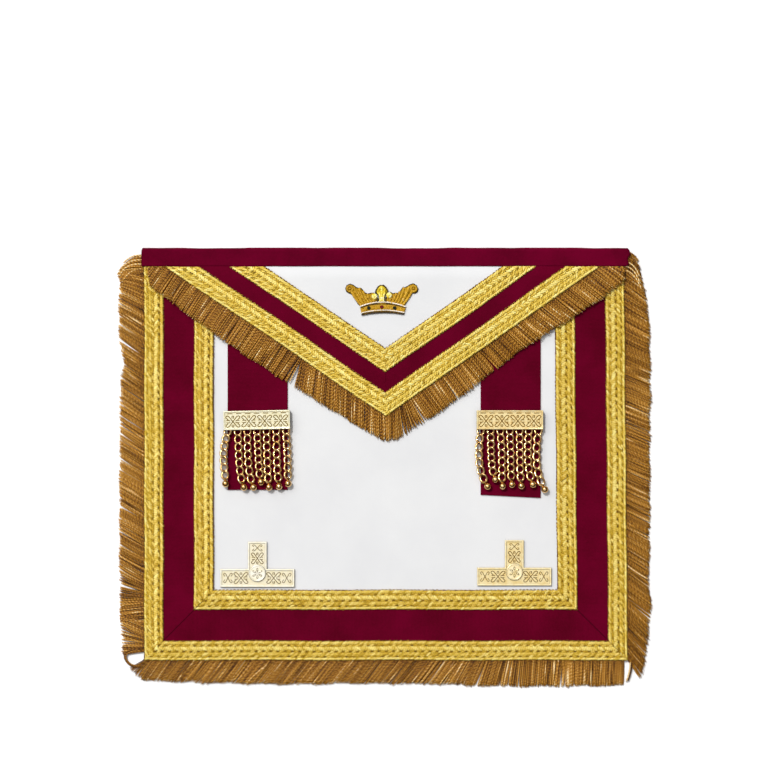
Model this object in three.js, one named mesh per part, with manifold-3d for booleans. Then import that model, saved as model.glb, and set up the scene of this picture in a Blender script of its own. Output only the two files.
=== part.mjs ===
// A masonic apron lying flat on its back: white leather with crimson ribbon, gold braid and bullion fringe,
// a bordered flap with a crown badge, two ribbons with barred chain tassels and two level plates.
// Millimetres. X runs across the apron, Y from the hem up to the waist, Z up from the surface it lies on.
// The plan is drawn with Y = 0 along the top edge, and the whole is centred at the end.

import * as THREE from "three";
import { mergeVertices } from "three/addons/utils/BufferGeometryUtils.js";
import Module from "manifold-3d";

const wasm = await Module();
wasm.setup();

// Body of the apron, over the outer braid
const bodyWidth = 404.6;
const bodyDepth = 347.7;
const hemFlare = 3.2; // the right-hand side leans out this far by the hem

// Waistband, folded over the top edges of the panel and the flap
const waistbandHeight = 15.8;
const waistbandThickness = 1;
const waistbandOverhang = { left: 2.2, right: 5.6 };
const waistbandCornerRadius = 3;
const tuckDepth = 13; // how far the leather reaches up inside the waistband

// Cloth and trim
const leatherThickness = 1.2;
const ribbonThickness = 1;
const braidThickness = 1.4;
const braidWidth = 16.2;
const braidEdgeThickness = 0.9;
const braidEdgeWidth = 1.3;
const braidGrooveWidth = 1.4;
const layerGap = 0.3; // left between pieces that lie on each other
const mitreGap = 0.4; // left where strips meet at a corner
const riseRun = 4.7; // length of the slope from the waistband down to the lying cloth

// Ribbon that shows between the two rows of braid
const borderRibbonWidth = 26.2;
const flapRibbonWidth = 14.2;

// Flap, a V hung from the waistband
const flapSideInset = 19.6; // in from the body's sides, at the waistband's lower edge
const flapWidth = bodyWidth - 2 * flapSideInset;
const flapDepth = 142; // from the top edge down to the braid's tip
const flapTipShift = 1.7; // the tip hangs a little to the right
const flapTopShift = -1.3;

// Bullion fringe, sewn on under the outer braid
const fringeHeadWidth = 5.7;
const fringeHeadThickness = 2.4;
const fringeThickness = 2.6;
const fringeReach = 21.5; // how far the strands reach beyond the braid
const fringeThinning = 0.5; // every other lock is thinner by this much
const lockWidth = 17.5;
const lockSlit = 0.9; // width of the slit between two locks at their tips
const lockRoot = 2; // how far a lock reaches into the head
const lockEndClear = 3.2; // bare length of head at each end
const tipDrop = 0.12; // share of its reach by which a lock's sides fall short of its middle
const raggedness = [1, 0.95, 1.03, 0.97, 1.05, 0.93, 1.01];

// Tassels: a ribbon, a bar, and chains that end in a ball
const tasselRibbonWidth = 50.6;
const tasselTopDrop = 30; // the ribbons start this far below the top edge, under the flap
const barLength = 56;
const barHeight = 16;
const barThickness = 5.6;
const barRimWidth = 1.7;
const barPocketDepth = 0.9;
const barReliefHeight = 0.6;
const barMotifs = 4;
const chainCount = 7;
const chainSpacing = 8.1;
const chainDrop = 48.4; // from the bar's lower edge to the middle of a straight chain's ball
const linkWire = 1.4;
const linkWidth = 6.9;
const stapleLength = 9; // the half-hidden link fixed in the bar
const stapleDrop = 1.8; // its middle, below the bar's lower edge
const linksPerChain = 6;
const linkTurn = Math.PI / 4; // links lie turned this much, to one side and the other in turn
const linkFuse = 0.4; // depth to which neighbouring links are soldered
const linkClearance = 0.3; // between the staple and the first link
const tubeClearance = 0.9; // between the bar and a chain that is kept as a tube
const ballRadius = 3.05;
const ballSink = 0.4;

// Level plates, an upside-down T
const levelBaseLength = 62.6;
const levelBaseHeight = 15.2;
const levelStemWidth = 15.9;
const levelHeight = 38.3;
const levelThickness = 2.2;
const levelRimWidth = 1.4;
const levelPocketDepth = 0.6;
const levelReliefHeight = 0.4;
const levelDiscRadius = 6.6;
const levelDiscDrop = 11.6; // from the base's lower edge up to the middle of the disc
const levelDiscThickness = 0.8;

// Crown badge
const crownDrop = 56.4; // from the top edge to the lower edge of the crown's band
const crownShift = -1.9;
const crownThickness = 1.5;
const crownBandHalf = 17.6;
const crownBandHeight = 7.6;
const crownArch = 2.4;
const crownBandFlare = 1;
const crownKnobReach = 26.7;
const crownKnobRise = 22;
const crownKnobRadius = 4.1;
const crownKnobProud = 0.4; // how far a knob stands above the arms
const crownFleurHeight = 13.4;
const crownFleurHalf = 4.4;
const crownLobeRadius = 2.5;
const crownLobeReach = 6.4;
const crownLobeClear = 1; // between a lobe and its arm
const crownJewelRadius = 1.6;
const crownJewelThickness = 0.7;
const crownJewelReach = 10.9;

// Where the fittings lie. Across is a share of the half width inside the inner braid. Down is a share of
// the flap's depth for a bar, and of the depth inside the inner braid for a level. Tail is how far the two
// corners of a ribbon hang below the middle of its bar, as a share of the chains' drop.
const tassels = [
  { side: "left", across: -0.746, down: 1.024, tilt: 0.022, linked: 5 },
  { side: "right", across: 0.7377, down: 1.0232, tilt: 0, linked: 0 },
];
const tasselTails = {
  left: { across: -0.7418, tail: [1.219, 1.219] },
  right: { across: 0.7432, tail: [1.308, 1.362] },
};
const levels = [
  { side: "left", across: -0.7432, down: 0.9903 },
  { side: "right", across: 0.7648, down: 0.9862 },
];

// Where each chain's ball lies from the middle of the bar's lower edge: across as a multiple of the chains'
// spacing, down as a share of their drop. Bow is how far the chain bows sideways, as a share of the spacing.
const chainRoutes = {
  left: [
    { across: -3.457, down: 0.932, bow: -0.185 },
    { across: -1.494, down: 1, bow: 0.05 },
    { across: -0.494, down: 1.004, bow: 0 },
    { across: 0.296, down: 0.915, bow: 0.074 },
    { across: 1.123, down: 1.008, bow: 0 },
    { across: 2.16, down: 1, bow: 0 },
    { across: 3.111, down: 0.955, bow: 0.1 },
  ],
  right: [
    { across: -2.296, down: 0.992, bow: -0.222 },
    { across: -1.506, down: 0.872, bow: 0.05 },
    { across: -0.741, down: 0.988, bow: 0.173 },
    { across: 0.235, down: 0.961, bow: 0.1 },
    { across: 1.198, down: 0.983, bow: 0.06 },
    { across: 2.407, down: 0.961, bow: -0.123 },
    { across: 3.63, down: 1.045, bow: -0.247 },
  ],
};

// How the fringe lies along each edge, going down the left, along the hem and up the right. Along is a share
// of the edge, reach a share of the fringe's reach, and lean a sideways share of the reach, positive onwards.
const fringeLie = {
  left: [
    { along: 0, reach: 0.907, lean: -0.42 },
    { along: 0.06, reach: 1, lean: -0.5 },
    { along: 0.9, reach: 1, lean: -0.48 },
    { along: 1, reach: 0.93, lean: -0.15 },
  ],
  bottom: [
    { along: 0, reach: 0.79, lean: -0.62 },
    { along: 0.06, reach: 0.884, lean: -0.8 },
    { along: 0.66, reach: 0.958, lean: -0.8 },
    { along: 0.72, reach: 1.023, lean: -0.06 },
    { along: 1, reach: 1, lean: -0.02 },
  ],
  right: [
    { along: 0, reach: 0.628, lean: -1.1 },
    { along: 0.06, reach: 0.93, lean: -0.55 },
    { along: 0.9, reach: 0.907, lean: -0.5 },
    { along: 1, reach: 0.814, lean: -0.5 },
  ],
};
const flapFringeLie = {
  left: [
    { along: 0, reach: 1, lean: 0.02 },
    { along: 0.4, reach: 1.116, lean: 0 },
    { along: 0.9, reach: 1.047, lean: 0.06 },
    { along: 1, reach: 0.884, lean: 0.35 },
  ],
  right: [
    { along: 0, reach: 0.93, lean: -0.3 },
    { along: 0.12, reach: 1.047, lean: 0.2 },
    { along: 0.6, reach: 0.953, lean: 0.3 },
    { along: 1, reach: 1.07, lean: 0.3 },
  ],
};

// Heights of the layers, worked out from the thicknesses
const panelTop = leatherThickness;
const ribbonLift = panelTop + layerGap;
const ribbonTop = ribbonLift + ribbonThickness;
const braidLift = ribbonTop + layerGap;
const braidTop = braidLift + braidThickness;
const panelRise = waistbandThickness + layerGap; // over the waistband's back leg
const flapTuckRise = panelRise + leatherThickness + layerGap;
const waistbandTop = flapTuckRise + leatherThickness + layerGap + waistbandThickness;
const flapOverBraid = braidTop + 2 * layerGap;
const tasselLift = ribbonTop + layerGap;
const trimStart = -(waistbandHeight + layerGap);
const riseEnd = trimStart - riseRun;
const sheetReach = 2 * bodyWidth;

// How the body and the flap lie: height of the underside along Y
const floorLie = [
  { y: -2 * bodyDepth, z: 0 },
  { y: bodyDepth, z: 0 },
];
const bodyLie = [
  { y: -2 * bodyDepth, z: 0 },
  { y: riseEnd, z: 0 },
  { y: trimStart, z: panelRise },
  { y: bodyDepth, z: panelRise },
];
const flapLie = [
  { y: -2 * bodyDepth, z: ribbonLift },
  { y: -1.18 * flapDepth, z: ribbonLift },
  { y: -0.84 * flapDepth, z: tasselLift },
  { y: -0.69 * flapDepth, z: tasselLift },
  { y: -0.55 * flapDepth, z: flapOverBraid },
  { y: riseEnd, z: flapOverBraid },
  { y: trimStart, z: flapTuckRise },
  { y: bodyDepth, z: flapTuckRise },
];

// Turns a closed three.js geometry into a solid that can be joined and cut.
function solidOf(geometry) {
  geometry.deleteAttribute("normal");
  geometry.deleteAttribute("uv");
  const merged = mergeVertices(geometry);
  const vertProperties = new Float32Array(merged.attributes.position.array);
  const triVerts = new Uint32Array(merged.index.array);
  return new wasm.Manifold(new wasm.Mesh({ numProp: 3, vertProperties, triVerts }));
}

function geometryOf(solid) {
  const mesh = solid.getMesh();
  const geometry = new THREE.BufferGeometry();
  geometry.setAttribute("position", new THREE.BufferAttribute(mesh.vertProperties, 3));
  geometry.setIndex(new THREE.BufferAttribute(mesh.triVerts, 1));
  geometry.computeVertexNormals();
  return geometry;
}

function joined(solids) {
  return solids.reduce((whole, next) => whole.add(next));
}

// A plan outline pushed up from one height to another.
function prism(outline, low, high, curveSegments = 4) {
  const shape = outline instanceof THREE.Shape ? outline : new THREE.Shape(outline);
  const settings = { depth: high - low, bevelEnabled: false, curveSegments };
  const geometry = new THREE.ExtrudeGeometry(shape, settings);
  geometry.translate(0, 0, low);
  return solidOf(geometry);
}

// A cross-section in Y and Z run along the whole of X.
function runAcross(section, from, to, curveSegments = 6) {
  const settings = { depth: to - from, bevelEnabled: false, curveSegments };
  const geometry = new THREE.ExtrudeGeometry(section, settings);
  geometry.translate(0, 0, from);
  const yAxis = new THREE.Vector3(0, 1, 0);
  const zAxis = new THREE.Vector3(0, 0, 1);
  const xAxis = new THREE.Vector3(1, 0, 0);
  geometry.applyMatrix4(new THREE.Matrix4().makeBasis(yAxis, zAxis, xAxis));
  return solidOf(geometry);
}

// Cloth of a plan outline, lying as the rows of lie say.
function laid(outline, lie, lift, thickness) {
  const under = lie.map(({ y, z }) => new THREE.Vector2(y, z + lift));
  const over = lie.map(({ y, z }) => new THREE.Vector2(y, z + lift + thickness)).reverse();
  const sheet = runAcross(new THREE.Shape([...under, ...over]), -sheetReach, sheetReach);
  const highest = Math.max(...over.map((point) => point.y));
  return sheet.intersect(prism(outline, -layerGap, highest + layerGap));
}

// A plan line beside the edge from one corner to the next, moved inwards, to the left of its run.
function edgeLine(from, to, inset) {
  const run = to.clone().sub(from).normalize();
  const inward = new THREE.Vector2(-run.y, run.x);
  return { at: from.clone().addScaledVector(inward, inset), run };
}

function meet(first, second) {
  const reach = second.at.clone().sub(first.at).cross(second.run) / first.run.cross(second.run);
  return first.at.clone().addScaledVector(first.run, reach);
}

// The corners of a bordered edge moved inwards, cut off level at the top.
function insetCorners(corners, inset, top) {
  const level = { at: new THREE.Vector2(0, top), run: new THREE.Vector2(1, 0) };
  const edges = corners.slice(1).map((corner, index) => edgeLine(corners[index], corner, inset));
  const inner = edges.slice(1).map((edge, index) => meet(edges[index], edge));
  return [meet(edges[0], level), ...inner, meet(edges[edges.length - 1], level)];
}

// One side of a border between two insets, with mitred corners.
function stripOutline(corners, side, outer, inner, top) {
  const outerCorners = insetCorners(corners, outer, top);
  const innerCorners = insetCorners(corners, inner, top);
  const run = corners[side + 1].clone().sub(corners[side]).normalize();
  const startShift = side > 0 ? mitreGap / 2 : 0;
  const endShift = side < corners.length - 2 ? -mitreGap / 2 : 0;
  return [
    outerCorners[side].addScaledVector(run, startShift),
    outerCorners[side + 1].addScaledVector(run, endShift),
    innerCorners[side + 1].addScaledVector(run, endShift),
    innerCorners[side].addScaledVector(run, startShift),
  ];
}

const bodyCorners = [
  new THREE.Vector2(-bodyWidth / 2, 0),
  new THREE.Vector2(-bodyWidth / 2, -bodyDepth),
  new THREE.Vector2(bodyWidth / 2 + hemFlare, -bodyDepth),
  new THREE.Vector2(bodyWidth / 2, 0),
];
const flapCorners = [
  new THREE.Vector2(flapTopShift - flapWidth / 2, trimStart),
  new THREE.Vector2(flapTipShift, -flapDepth),
  new THREE.Vector2(flapTopShift + flapWidth / 2, trimStart),
];

const bodySides = ["left", "bottom", "right"];
const flapSides = ["left", "right"];
const panelInset = fringeHeadWidth + layerGap;
const innerBraidInset = braidWidth + borderRibbonWidth;
const flapInnerBraidInset = braidWidth + flapRibbonWidth;
const tuckTop = tuckDepth - waistbandHeight;
const panelHalf = bodyWidth / 2 - innerBraidInset - braidWidth;
const panelDepth = bodyDepth - innerBraidInset - braidWidth;

// Braid: a flat woven band with two raised cords beside a middle groove.
function braid(corners, side, inset, top, lie) {
  const cordWidth = (braidWidth - 2 * braidEdgeWidth - braidGrooveWidth) / 2;
  const cordInsets = [inset + braidEdgeWidth, inset + braidEdgeWidth + cordWidth + braidGrooveWidth];
  const outline = stripOutline(corners, side, inset, inset + braidWidth, top);
  const band = laid(outline, lie, braidLift, braidEdgeThickness);
  const cords = cordInsets.map((start) => {
    const cord = stripOutline(corners, side, start, start + cordWidth, top);
    return laid(cord, lie, braidLift + braidEdgeThickness / 2, braidThickness - braidEdgeThickness / 2);
  });
  return joined([band, ...cords]);
}

// The values of a fringe row between two rows of its table.
function fringeAt(rows, along) {
  const next = Math.max(1, rows.findIndex((row) => row.along >= along));
  const before = rows[next - 1];
  const after = rows[next];
  const share = (along - before.along) / (after.along - before.along);
  return {
    reach: fringeReach * THREE.MathUtils.lerp(before.reach, after.reach, share),
    lean: THREE.MathUtils.lerp(before.lean, after.lean, share),
  };
}

// Fringe: a sewn head with locks of twisted strands that reach out from it.
function fringe(corners, side, top, lie, rows) {
  const edge = insetCorners(corners, 0, top);
  const start = edge[side];
  const length = start.distanceTo(edge[side + 1]);
  const run = edge[side + 1].clone().sub(start).normalize();
  const outward = new THREE.Vector2(run.y, -run.x);
  const at = (along, reach) => start.clone().addScaledVector(run, along).addScaledVector(outward, reach);
  const head = laid(stripOutline(corners, side, 0, fringeHeadWidth, top), lie, 0, fringeHeadThickness);
  const count = Math.round(length / lockWidth);
  const width = (length - 2 * lockEndClear) / count;
  const locks = Array.from({ length: count }, (unused, index) => {
    const from = lockEndClear + index * width;
    const to = from + width;
    const { reach, lean } = fringeAt(rows, (index + 0.5) / count);
    const ragged = reach * raggedness[index % raggedness.length];
    const outline = [
      at(from, -lockRoot),
      at(to, -lockRoot),
      at(to + lean * reach - lockSlit, ragged * (1 - tipDrop)),
      at((from + to) / 2 + lean * reach, ragged),
      at(from + lean * reach, ragged * (1 - tipDrop)),
    ];
    const thickness = fringeThickness - (index % 2) * fringeThinning;
    return laid(outline, lie, 0, thickness);
  });
  return joined([head, ...locks]);
}

// Waistband: a ribbon folded over the top edges, with rounded ends.
function waistband() {
  const left = -bodyWidth / 2 - waistbandOverhang.left;
  const right = bodyWidth / 2 + waistbandOverhang.right;
  const foldRadius = waistbandTop / 2;
  const innerRadius = foldRadius - waistbandThickness;
  const section = new THREE.Shape();
  section.moveTo(-waistbandHeight, 0);
  section.lineTo(-foldRadius, 0);
  section.absarc(-foldRadius, foldRadius, foldRadius, -Math.PI / 2, Math.PI / 2, false);
  section.lineTo(-waistbandHeight, waistbandTop);
  section.lineTo(-waistbandHeight, waistbandTop - waistbandThickness);
  section.absarc(-foldRadius, foldRadius, innerRadius, Math.PI / 2, -Math.PI / 2, true);
  section.lineTo(-waistbandHeight, waistbandThickness);
  const radius = waistbandCornerRadius;
  const plan = new THREE.Shape();
  plan.moveTo(left, -waistbandHeight - layerGap);
  plan.lineTo(left, -radius);
  plan.absarc(left + radius, -radius, radius, Math.PI, Math.PI / 2, true);
  plan.absarc(right - radius, -radius, radius, Math.PI / 2, 0, true);
  plan.lineTo(right, -waistbandHeight - layerGap);
  return runAcross(section, left, right).intersect(prism(plan, -layerGap, waistbandTop + layerGap));
}

// A closed ring of round wire drawn out into a link, standing in the XY plane along Y.
function link(length) {
  const radius = (linkWidth - linkWire) / 2;
  const straight = (length - linkWidth) / 2;
  const segments = 10;
  const ring = new THREE.TorusGeometry(radius, linkWire / 2, 5, segments);
  ring.rotateZ(Math.PI / segments);
  const places = ring.attributes.position;
  for (let index = 0; index < places.count; index += 1) {
    places.setY(index, places.getY(index) + Math.sign(places.getY(index)) * straight);
  }
  return ring;
}

const linkStand = ((linkWidth - linkWire) / 2) * Math.sin(linkTurn) + linkWire / 2;

// A low diamond of the cast relief on the bars and levels.
function reliefDiamond(x, y, length, height, low, high) {
  const corners = [
    new THREE.Vector2(x - length / 2, y),
    new THREE.Vector2(x, y - height / 2),
    new THREE.Vector2(x + length / 2, y),
    new THREE.Vector2(x, y + height / 2),
  ];
  return prism(corners, low, high);
}

function rectangle(left, bottom, right, top) {
  return [
    new THREE.Vector2(left, bottom),
    new THREE.Vector2(right, bottom),
    new THREE.Vector2(right, top),
    new THREE.Vector2(left, top),
  ];
}

// Tassel bar: a cast bar with a raised rim, a row of relief, and a staple for each linked chain.
// Its own origin is the middle of its lower edge.
function tasselBar(linked) {
  const half = barLength / 2;
  const floor = barThickness - barPocketDepth;
  const plate = prism(rectangle(-half, 0, half, barHeight), 0, barThickness);
  const pocket = prism(
    rectangle(-half + barRimWidth, barRimWidth, half - barRimWidth, barHeight - barRimWidth),
    floor,
    barThickness + layerGap,
  );
  const motifLength = (barLength - 2 * barRimWidth) / barMotifs;
  const motifs = Array.from({ length: barMotifs }, (unused, index) => {
    const x = -half + barRimWidth + (index + 0.5) * motifLength;
    const height = barHeight - 3 * barRimWidth;
    const reliefTop = floor + barReliefHeight;
    return reliefDiamond(x, barHeight / 2, 0.9 * motifLength, height, floor - layerGap, reliefTop);
  });
  const staples = Array.from({ length: linked }, (unused, index) => {
    const ring = link(stapleLength);
    ring.rotateY(linkTurn);
    ring.translate(chainX(index), -stapleDrop, linkStand);
    return solidOf(ring);
  });
  return joined([plate.subtract(pocket), ...motifs, ...staples]);
}

function chainX(index) {
  return (index - (chainCount - 1) / 2) * chainSpacing;
}

// The line that a chain follows from the bar's lower edge to the middle of its ball.
function chainRoute(index, { across, down, bow }) {
  const start = new THREE.Vector3(chainX(index), 0, linkStand);
  const end = new THREE.Vector3(across * chainSpacing, -down * chainDrop, ballRadius);
  const middle = start.clone().add(end).multiplyScalar(0.5);
  middle.x += 2 * bow * chainSpacing;
  return new THREE.QuadraticBezierCurve3(start, middle, end);
}

function ballAt(place) {
  const ball = new THREE.SphereGeometry(ballRadius, 10, 5);
  ball.translate(place.x, place.y, place.z);
  return solidOf(ball);
}

// A chain of soldered links, turned to one side and the other, with its ball.
function linkedChain(index, row) {
  const route = chainRoute(index, row);
  const length = route.getLength();
  const stapleEnd = stapleDrop + (stapleLength - linkWire) / 2;
  const ends = stapleEnd - linkWire / 2 - linkClearance + (linkWire - linkFuse) + ballRadius - ballSink;
  const pitch = (length - ends) / linksPerChain;
  const linkLength = pitch + 2 * linkWire - linkFuse;
  const first = stapleEnd + (linkLength - linkWire) / 2 - linkWire - linkClearance;
  const links = Array.from({ length: linksPerChain }, (unused, step) => {
    const share = (first + step * pitch) / length;
    const ring = link(linkLength);
    ring.rotateY(step % 2 === 0 ? -linkTurn : linkTurn);
    const place = route.getPointAt(share);
    const down = route.getTangentAt(share).negate();
    const turn = new THREE.Quaternion().setFromUnitVectors(new THREE.Vector3(0, 1, 0), down);
    ring.applyQuaternion(turn);
    ring.translate(place.x, place.y, place.z);
    return solidOf(ring);
  });
  return joined([...links, ballAt(route.getPointAt(1))]);
}

// A chain kept as a tube of its own width, with its ball.
function tubeChain(index, row) {
  const route = chainRoute(index, row);
  const start = tubeClearance / route.getLength();
  const steps = 4;
  const points = Array.from({ length: steps + 1 }, (unused, step) => {
    return route.getPointAt(start + ((1 - start) * step) / steps);
  });
  const radius = linkStand;
  const sides = 8;
  const corners = Array.from({ length: sides }, (unused, side) => {
    const angle = (2 * Math.PI * (side + 0.5)) / sides;
    return new THREE.Vector2(radius * Math.cos(angle), radius * Math.sin(angle));
  });
  const tube = new THREE.ExtrudeGeometry(new THREE.Shape(corners), {
    steps,
    extrudePath: new THREE.CatmullRomCurve3(points),
  });
  return solidOf(tube).add(ballAt(route.getPointAt(1)));
}

function tasselRibbon({ side, down }) {
  const { across, tail } = tasselTails[side];
  const left = across * panelHalf - tasselRibbonWidth / 2;
  const right = left + tasselRibbonWidth;
  const barMiddle = -down * flapDepth;
  const outline = [
    new THREE.Vector2(left, barMiddle - tail[0] * chainDrop),
    new THREE.Vector2(right, barMiddle - tail[1] * chainDrop),
    new THREE.Vector2(right, -tasselTopDrop),
    new THREE.Vector2(left, -tasselTopDrop),
  ];
  return laid(outline, bodyLie, ribbonLift, ribbonThickness);
}

function teeOutline(inset) {
  const base = levelBaseLength / 2 - inset;
  const stem = levelStemWidth / 2 - inset;
  return [
    new THREE.Vector2(-base, inset),
    new THREE.Vector2(base, inset),
    new THREE.Vector2(base, levelBaseHeight - inset),
    new THREE.Vector2(stem, levelBaseHeight - inset),
    new THREE.Vector2(stem, levelHeight - inset),
    new THREE.Vector2(-stem, levelHeight - inset),
    new THREE.Vector2(-stem, levelBaseHeight - inset),
    new THREE.Vector2(-base, levelBaseHeight - inset),
  ];
}

// Level plate: an upside-down T with a raised rim and relief on each arm.
// Its own origin is the middle of its lower edge.
function level() {
  const floor = levelThickness - levelPocketDepth;
  const plate = prism(teeOutline(0), 0, levelThickness);
  const pocket = prism(teeOutline(levelRimWidth), floor, levelThickness + layerGap);
  const reliefTop = floor + levelReliefHeight;
  const armLength = levelBaseLength / 2 - levelDiscRadius - 2 * levelRimWidth;
  const armMiddle = levelDiscRadius + levelRimWidth / 2 + armLength / 2;
  const armHeight = levelBaseHeight - 3 * levelRimWidth;
  const stemLength = levelHeight - levelDiscDrop - levelDiscRadius - 3 * levelRimWidth;
  const stemMiddle = levelHeight - levelRimWidth * 1.5 - stemLength / 2;
  const stemRelief = levelStemWidth - 3 * levelRimWidth;
  const motifs = [
    reliefDiamond(-armMiddle, levelBaseHeight / 2, armLength, armHeight, floor - layerGap, reliefTop),
    reliefDiamond(armMiddle, levelBaseHeight / 2, armLength, armHeight, floor - layerGap, reliefTop),
    reliefDiamond(0, stemMiddle, stemRelief, stemLength, floor - layerGap, reliefTop),
  ];
  return joined([plate.subtract(pocket), ...motifs]);
}

function levelDisc() {
  const disc = new THREE.CylinderGeometry(levelDiscRadius, levelDiscRadius, levelDiscThickness, 16);
  disc.rotateX(Math.PI / 2);
  disc.translate(0, 0, levelDiscThickness / 2);
  return solidOf(disc);
}

// Crown: an arched band with an arm on each side that curls out into a knob.
// Its own origin is the middle of the band's lower edge, level with its ends.
function crownArms() {
  const band = new THREE.Shape();
  const bandTopHalf = crownBandHalf + crownBandFlare;
  const armFoot = crownLobeReach + crownLobeRadius + crownLobeClear;
  band.moveTo(-crownBandHalf, 0);
  band.quadraticCurveTo(0, 2 * crownArch, crownBandHalf, 0);
  band.lineTo(bandTopHalf, crownBandHeight);
  band.quadraticCurveTo(0, crownBandHeight + 2 * crownArch, -bandTopHalf, crownBandHeight);
  const arms = [-1, 1].map((hand) => {
    const arm = new THREE.Shape();
    const across = (share) => hand * share * crownKnobReach;
    arm.moveTo(hand * bandTopHalf, 0.87 * crownBandHeight);
    arm.lineTo(across(0.925), 0.705 * crownKnobRise);
    arm.lineTo(across(0.963), 1.114 * crownKnobRise);
    arm.quadraticCurveTo(across(0.68), 1.09 * crownKnobRise, across(0.52), 0.84 * crownKnobRise);
    arm.lineTo(hand * armFoot, 0.82 * crownKnobRise);
    arm.lineTo(hand * (armFoot - crownLobeClear / 2), 1.2 * crownBandHeight);
    return prism(arm, 0, crownThickness);
  });
  const knobHeight = crownThickness + crownKnobProud;
  const knobs = [-1, 1].map((hand) => {
    const knob = new THREE.CylinderGeometry(crownKnobRadius, crownKnobRadius, knobHeight, 12);
    knob.rotateX(Math.PI / 2);
    knob.translate(hand * crownKnobReach, crownKnobRise, knobHeight / 2);
    return solidOf(knob);
  });
  return joined([prism(band, 0, crownThickness, 6), ...arms, ...knobs]);
}

// The bright fleur between the arms, with a lobe on each side. Its own origin is the middle of its foot.
function crownFleur() {
  const half = crownFleurHalf;
  const height = crownFleurHeight;
  const fleur = new THREE.Shape();
  fleur.moveTo(-crownLobeReach, 0);
  fleur.lineTo(crownLobeReach, 0);
  fleur.lineTo(crownLobeReach, 0.2 * height);
  fleur.lineTo(0.5 * half, 0.28 * height);
  fleur.lineTo(half, 0.65 * height);
  fleur.quadraticCurveTo(0.9 * half, 0.92 * height, 0, height);
  fleur.quadraticCurveTo(-0.9 * half, 0.92 * height, -half, 0.65 * height);
  fleur.lineTo(-0.5 * half, 0.28 * height);
  fleur.lineTo(-crownLobeReach, 0.2 * height);
  const lobeHeight = 0.9 * crownThickness;
  const lobeReach = crownLobeReach - 0.4 * crownLobeRadius;
  const lobes = [-1, 1].map((hand) => {
    const lobe = new THREE.CylinderGeometry(crownLobeRadius, crownLobeRadius, lobeHeight, 10);
    lobe.rotateX(Math.PI / 2);
    lobe.translate(hand * lobeReach, 0.36 * height, lobeHeight / 2);
    return solidOf(lobe);
  });
  return joined([prism(fleur, 0, crownThickness * 1.15, 4), ...lobes]);
}

function crownJewel() {
  const jewel = new THREE.CylinderGeometry(0.6 * crownJewelRadius, crownJewelRadius, crownJewelThickness, 8);
  jewel.rotateX(Math.PI / 2);
  jewel.translate(0, 0, crownJewelThickness / 2);
  return solidOf(jewel);
}

const finishes = {
  leather: { color: 0xf1f1f3, roughness: 0.62, metalness: 0 },
  ribbon: { color: 0x6c0626, roughness: 0.72, metalness: 0 },
  braid: { color: 0xdcb848, roughness: 0.42, metalness: 0.55 },
  fringe: { color: 0xa87432, roughness: 0.5, metalness: 0.4 },
  metal: { color: 0xf0dda2, roughness: 0.25, metalness: 1 },
  embroidery: { color: 0xd29b32, roughness: 0.5, metalness: 0.4 },
  fleur: { color: 0xf3dc55, roughness: 0.4, metalness: 0.3 },
  redGlass: { color: 0xa0101c, roughness: 0.12, metalness: 0 },
  greenGlass: { color: 0x0c3a20, roughness: 0.12, metalness: 0 },
};

const apron = new THREE.Group();

function addPiece(parent, name, solid, finish, place = [0, 0, 0]) {
  const mesh = new THREE.Mesh(geometryOf(solid), new THREE.MeshStandardMaterial(finishes[finish]));
  mesh.name = name;
  mesh.position.set(...place);
  parent.add(mesh);
}

// Body: panel, ribbon border, two rows of braid, fringe and waistband
const bodyPanelEdge = insetCorners(bodyCorners, panelInset, tuckTop);
addPiece(apron, "body_panel", laid(bodyPanelEdge, bodyLie, 0, leatherThickness), "leather");
bodySides.forEach((name, side) => {
  const ribbonTopEdge = name === "bottom" ? trimStart : riseEnd;
  const ribbon = stripOutline(bodyCorners, side, panelInset, innerBraidInset + braidWidth, ribbonTopEdge);
  addPiece(apron, `border_ribbon_${name}`, laid(ribbon, bodyLie, ribbonLift, ribbonThickness), "ribbon");
  addPiece(apron, `outer_braid_${name}`, braid(bodyCorners, side, 0, trimStart, bodyLie), "braid");
  const innerBraid = braid(bodyCorners, side, innerBraidInset, riseEnd, bodyLie);
  addPiece(apron, `inner_braid_${name}`, innerBraid, "braid");
  const bodyFringe = fringe(bodyCorners, side, trimStart, floorLie, fringeLie[name]);
  addPiece(apron, `fringe_${name}`, bodyFringe, "fringe");
});
addPiece(apron, "waistband", waistband(), "ribbon");

// Flap: panel, ribbon, braid and fringe
const flapPanelEdge = insetCorners(flapCorners, panelInset, tuckTop);
addPiece(apron, "flap_panel", laid(flapPanelEdge, flapLie, 0, leatherThickness), "leather");
flapSides.forEach((name, side) => {
  const ribbon = stripOutline(flapCorners, side, panelInset, flapInnerBraidInset + braidWidth, trimStart);
  addPiece(apron, `flap_ribbon_${name}`, laid(ribbon, flapLie, ribbonLift, ribbonThickness), "ribbon");
  addPiece(apron, `flap_outer_braid_${name}`, braid(flapCorners, side, 0, trimStart, flapLie), "braid");
  const innerBraid = braid(flapCorners, side, flapInnerBraidInset, trimStart, flapLie);
  addPiece(apron, `flap_inner_braid_${name}`, innerBraid, "braid");
  const flapFringe = fringe(flapCorners, side, trimStart, flapLie, flapFringeLie[name]);
  addPiece(apron, `flap_fringe_${name}`, flapFringe, "fringe");
});

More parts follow.
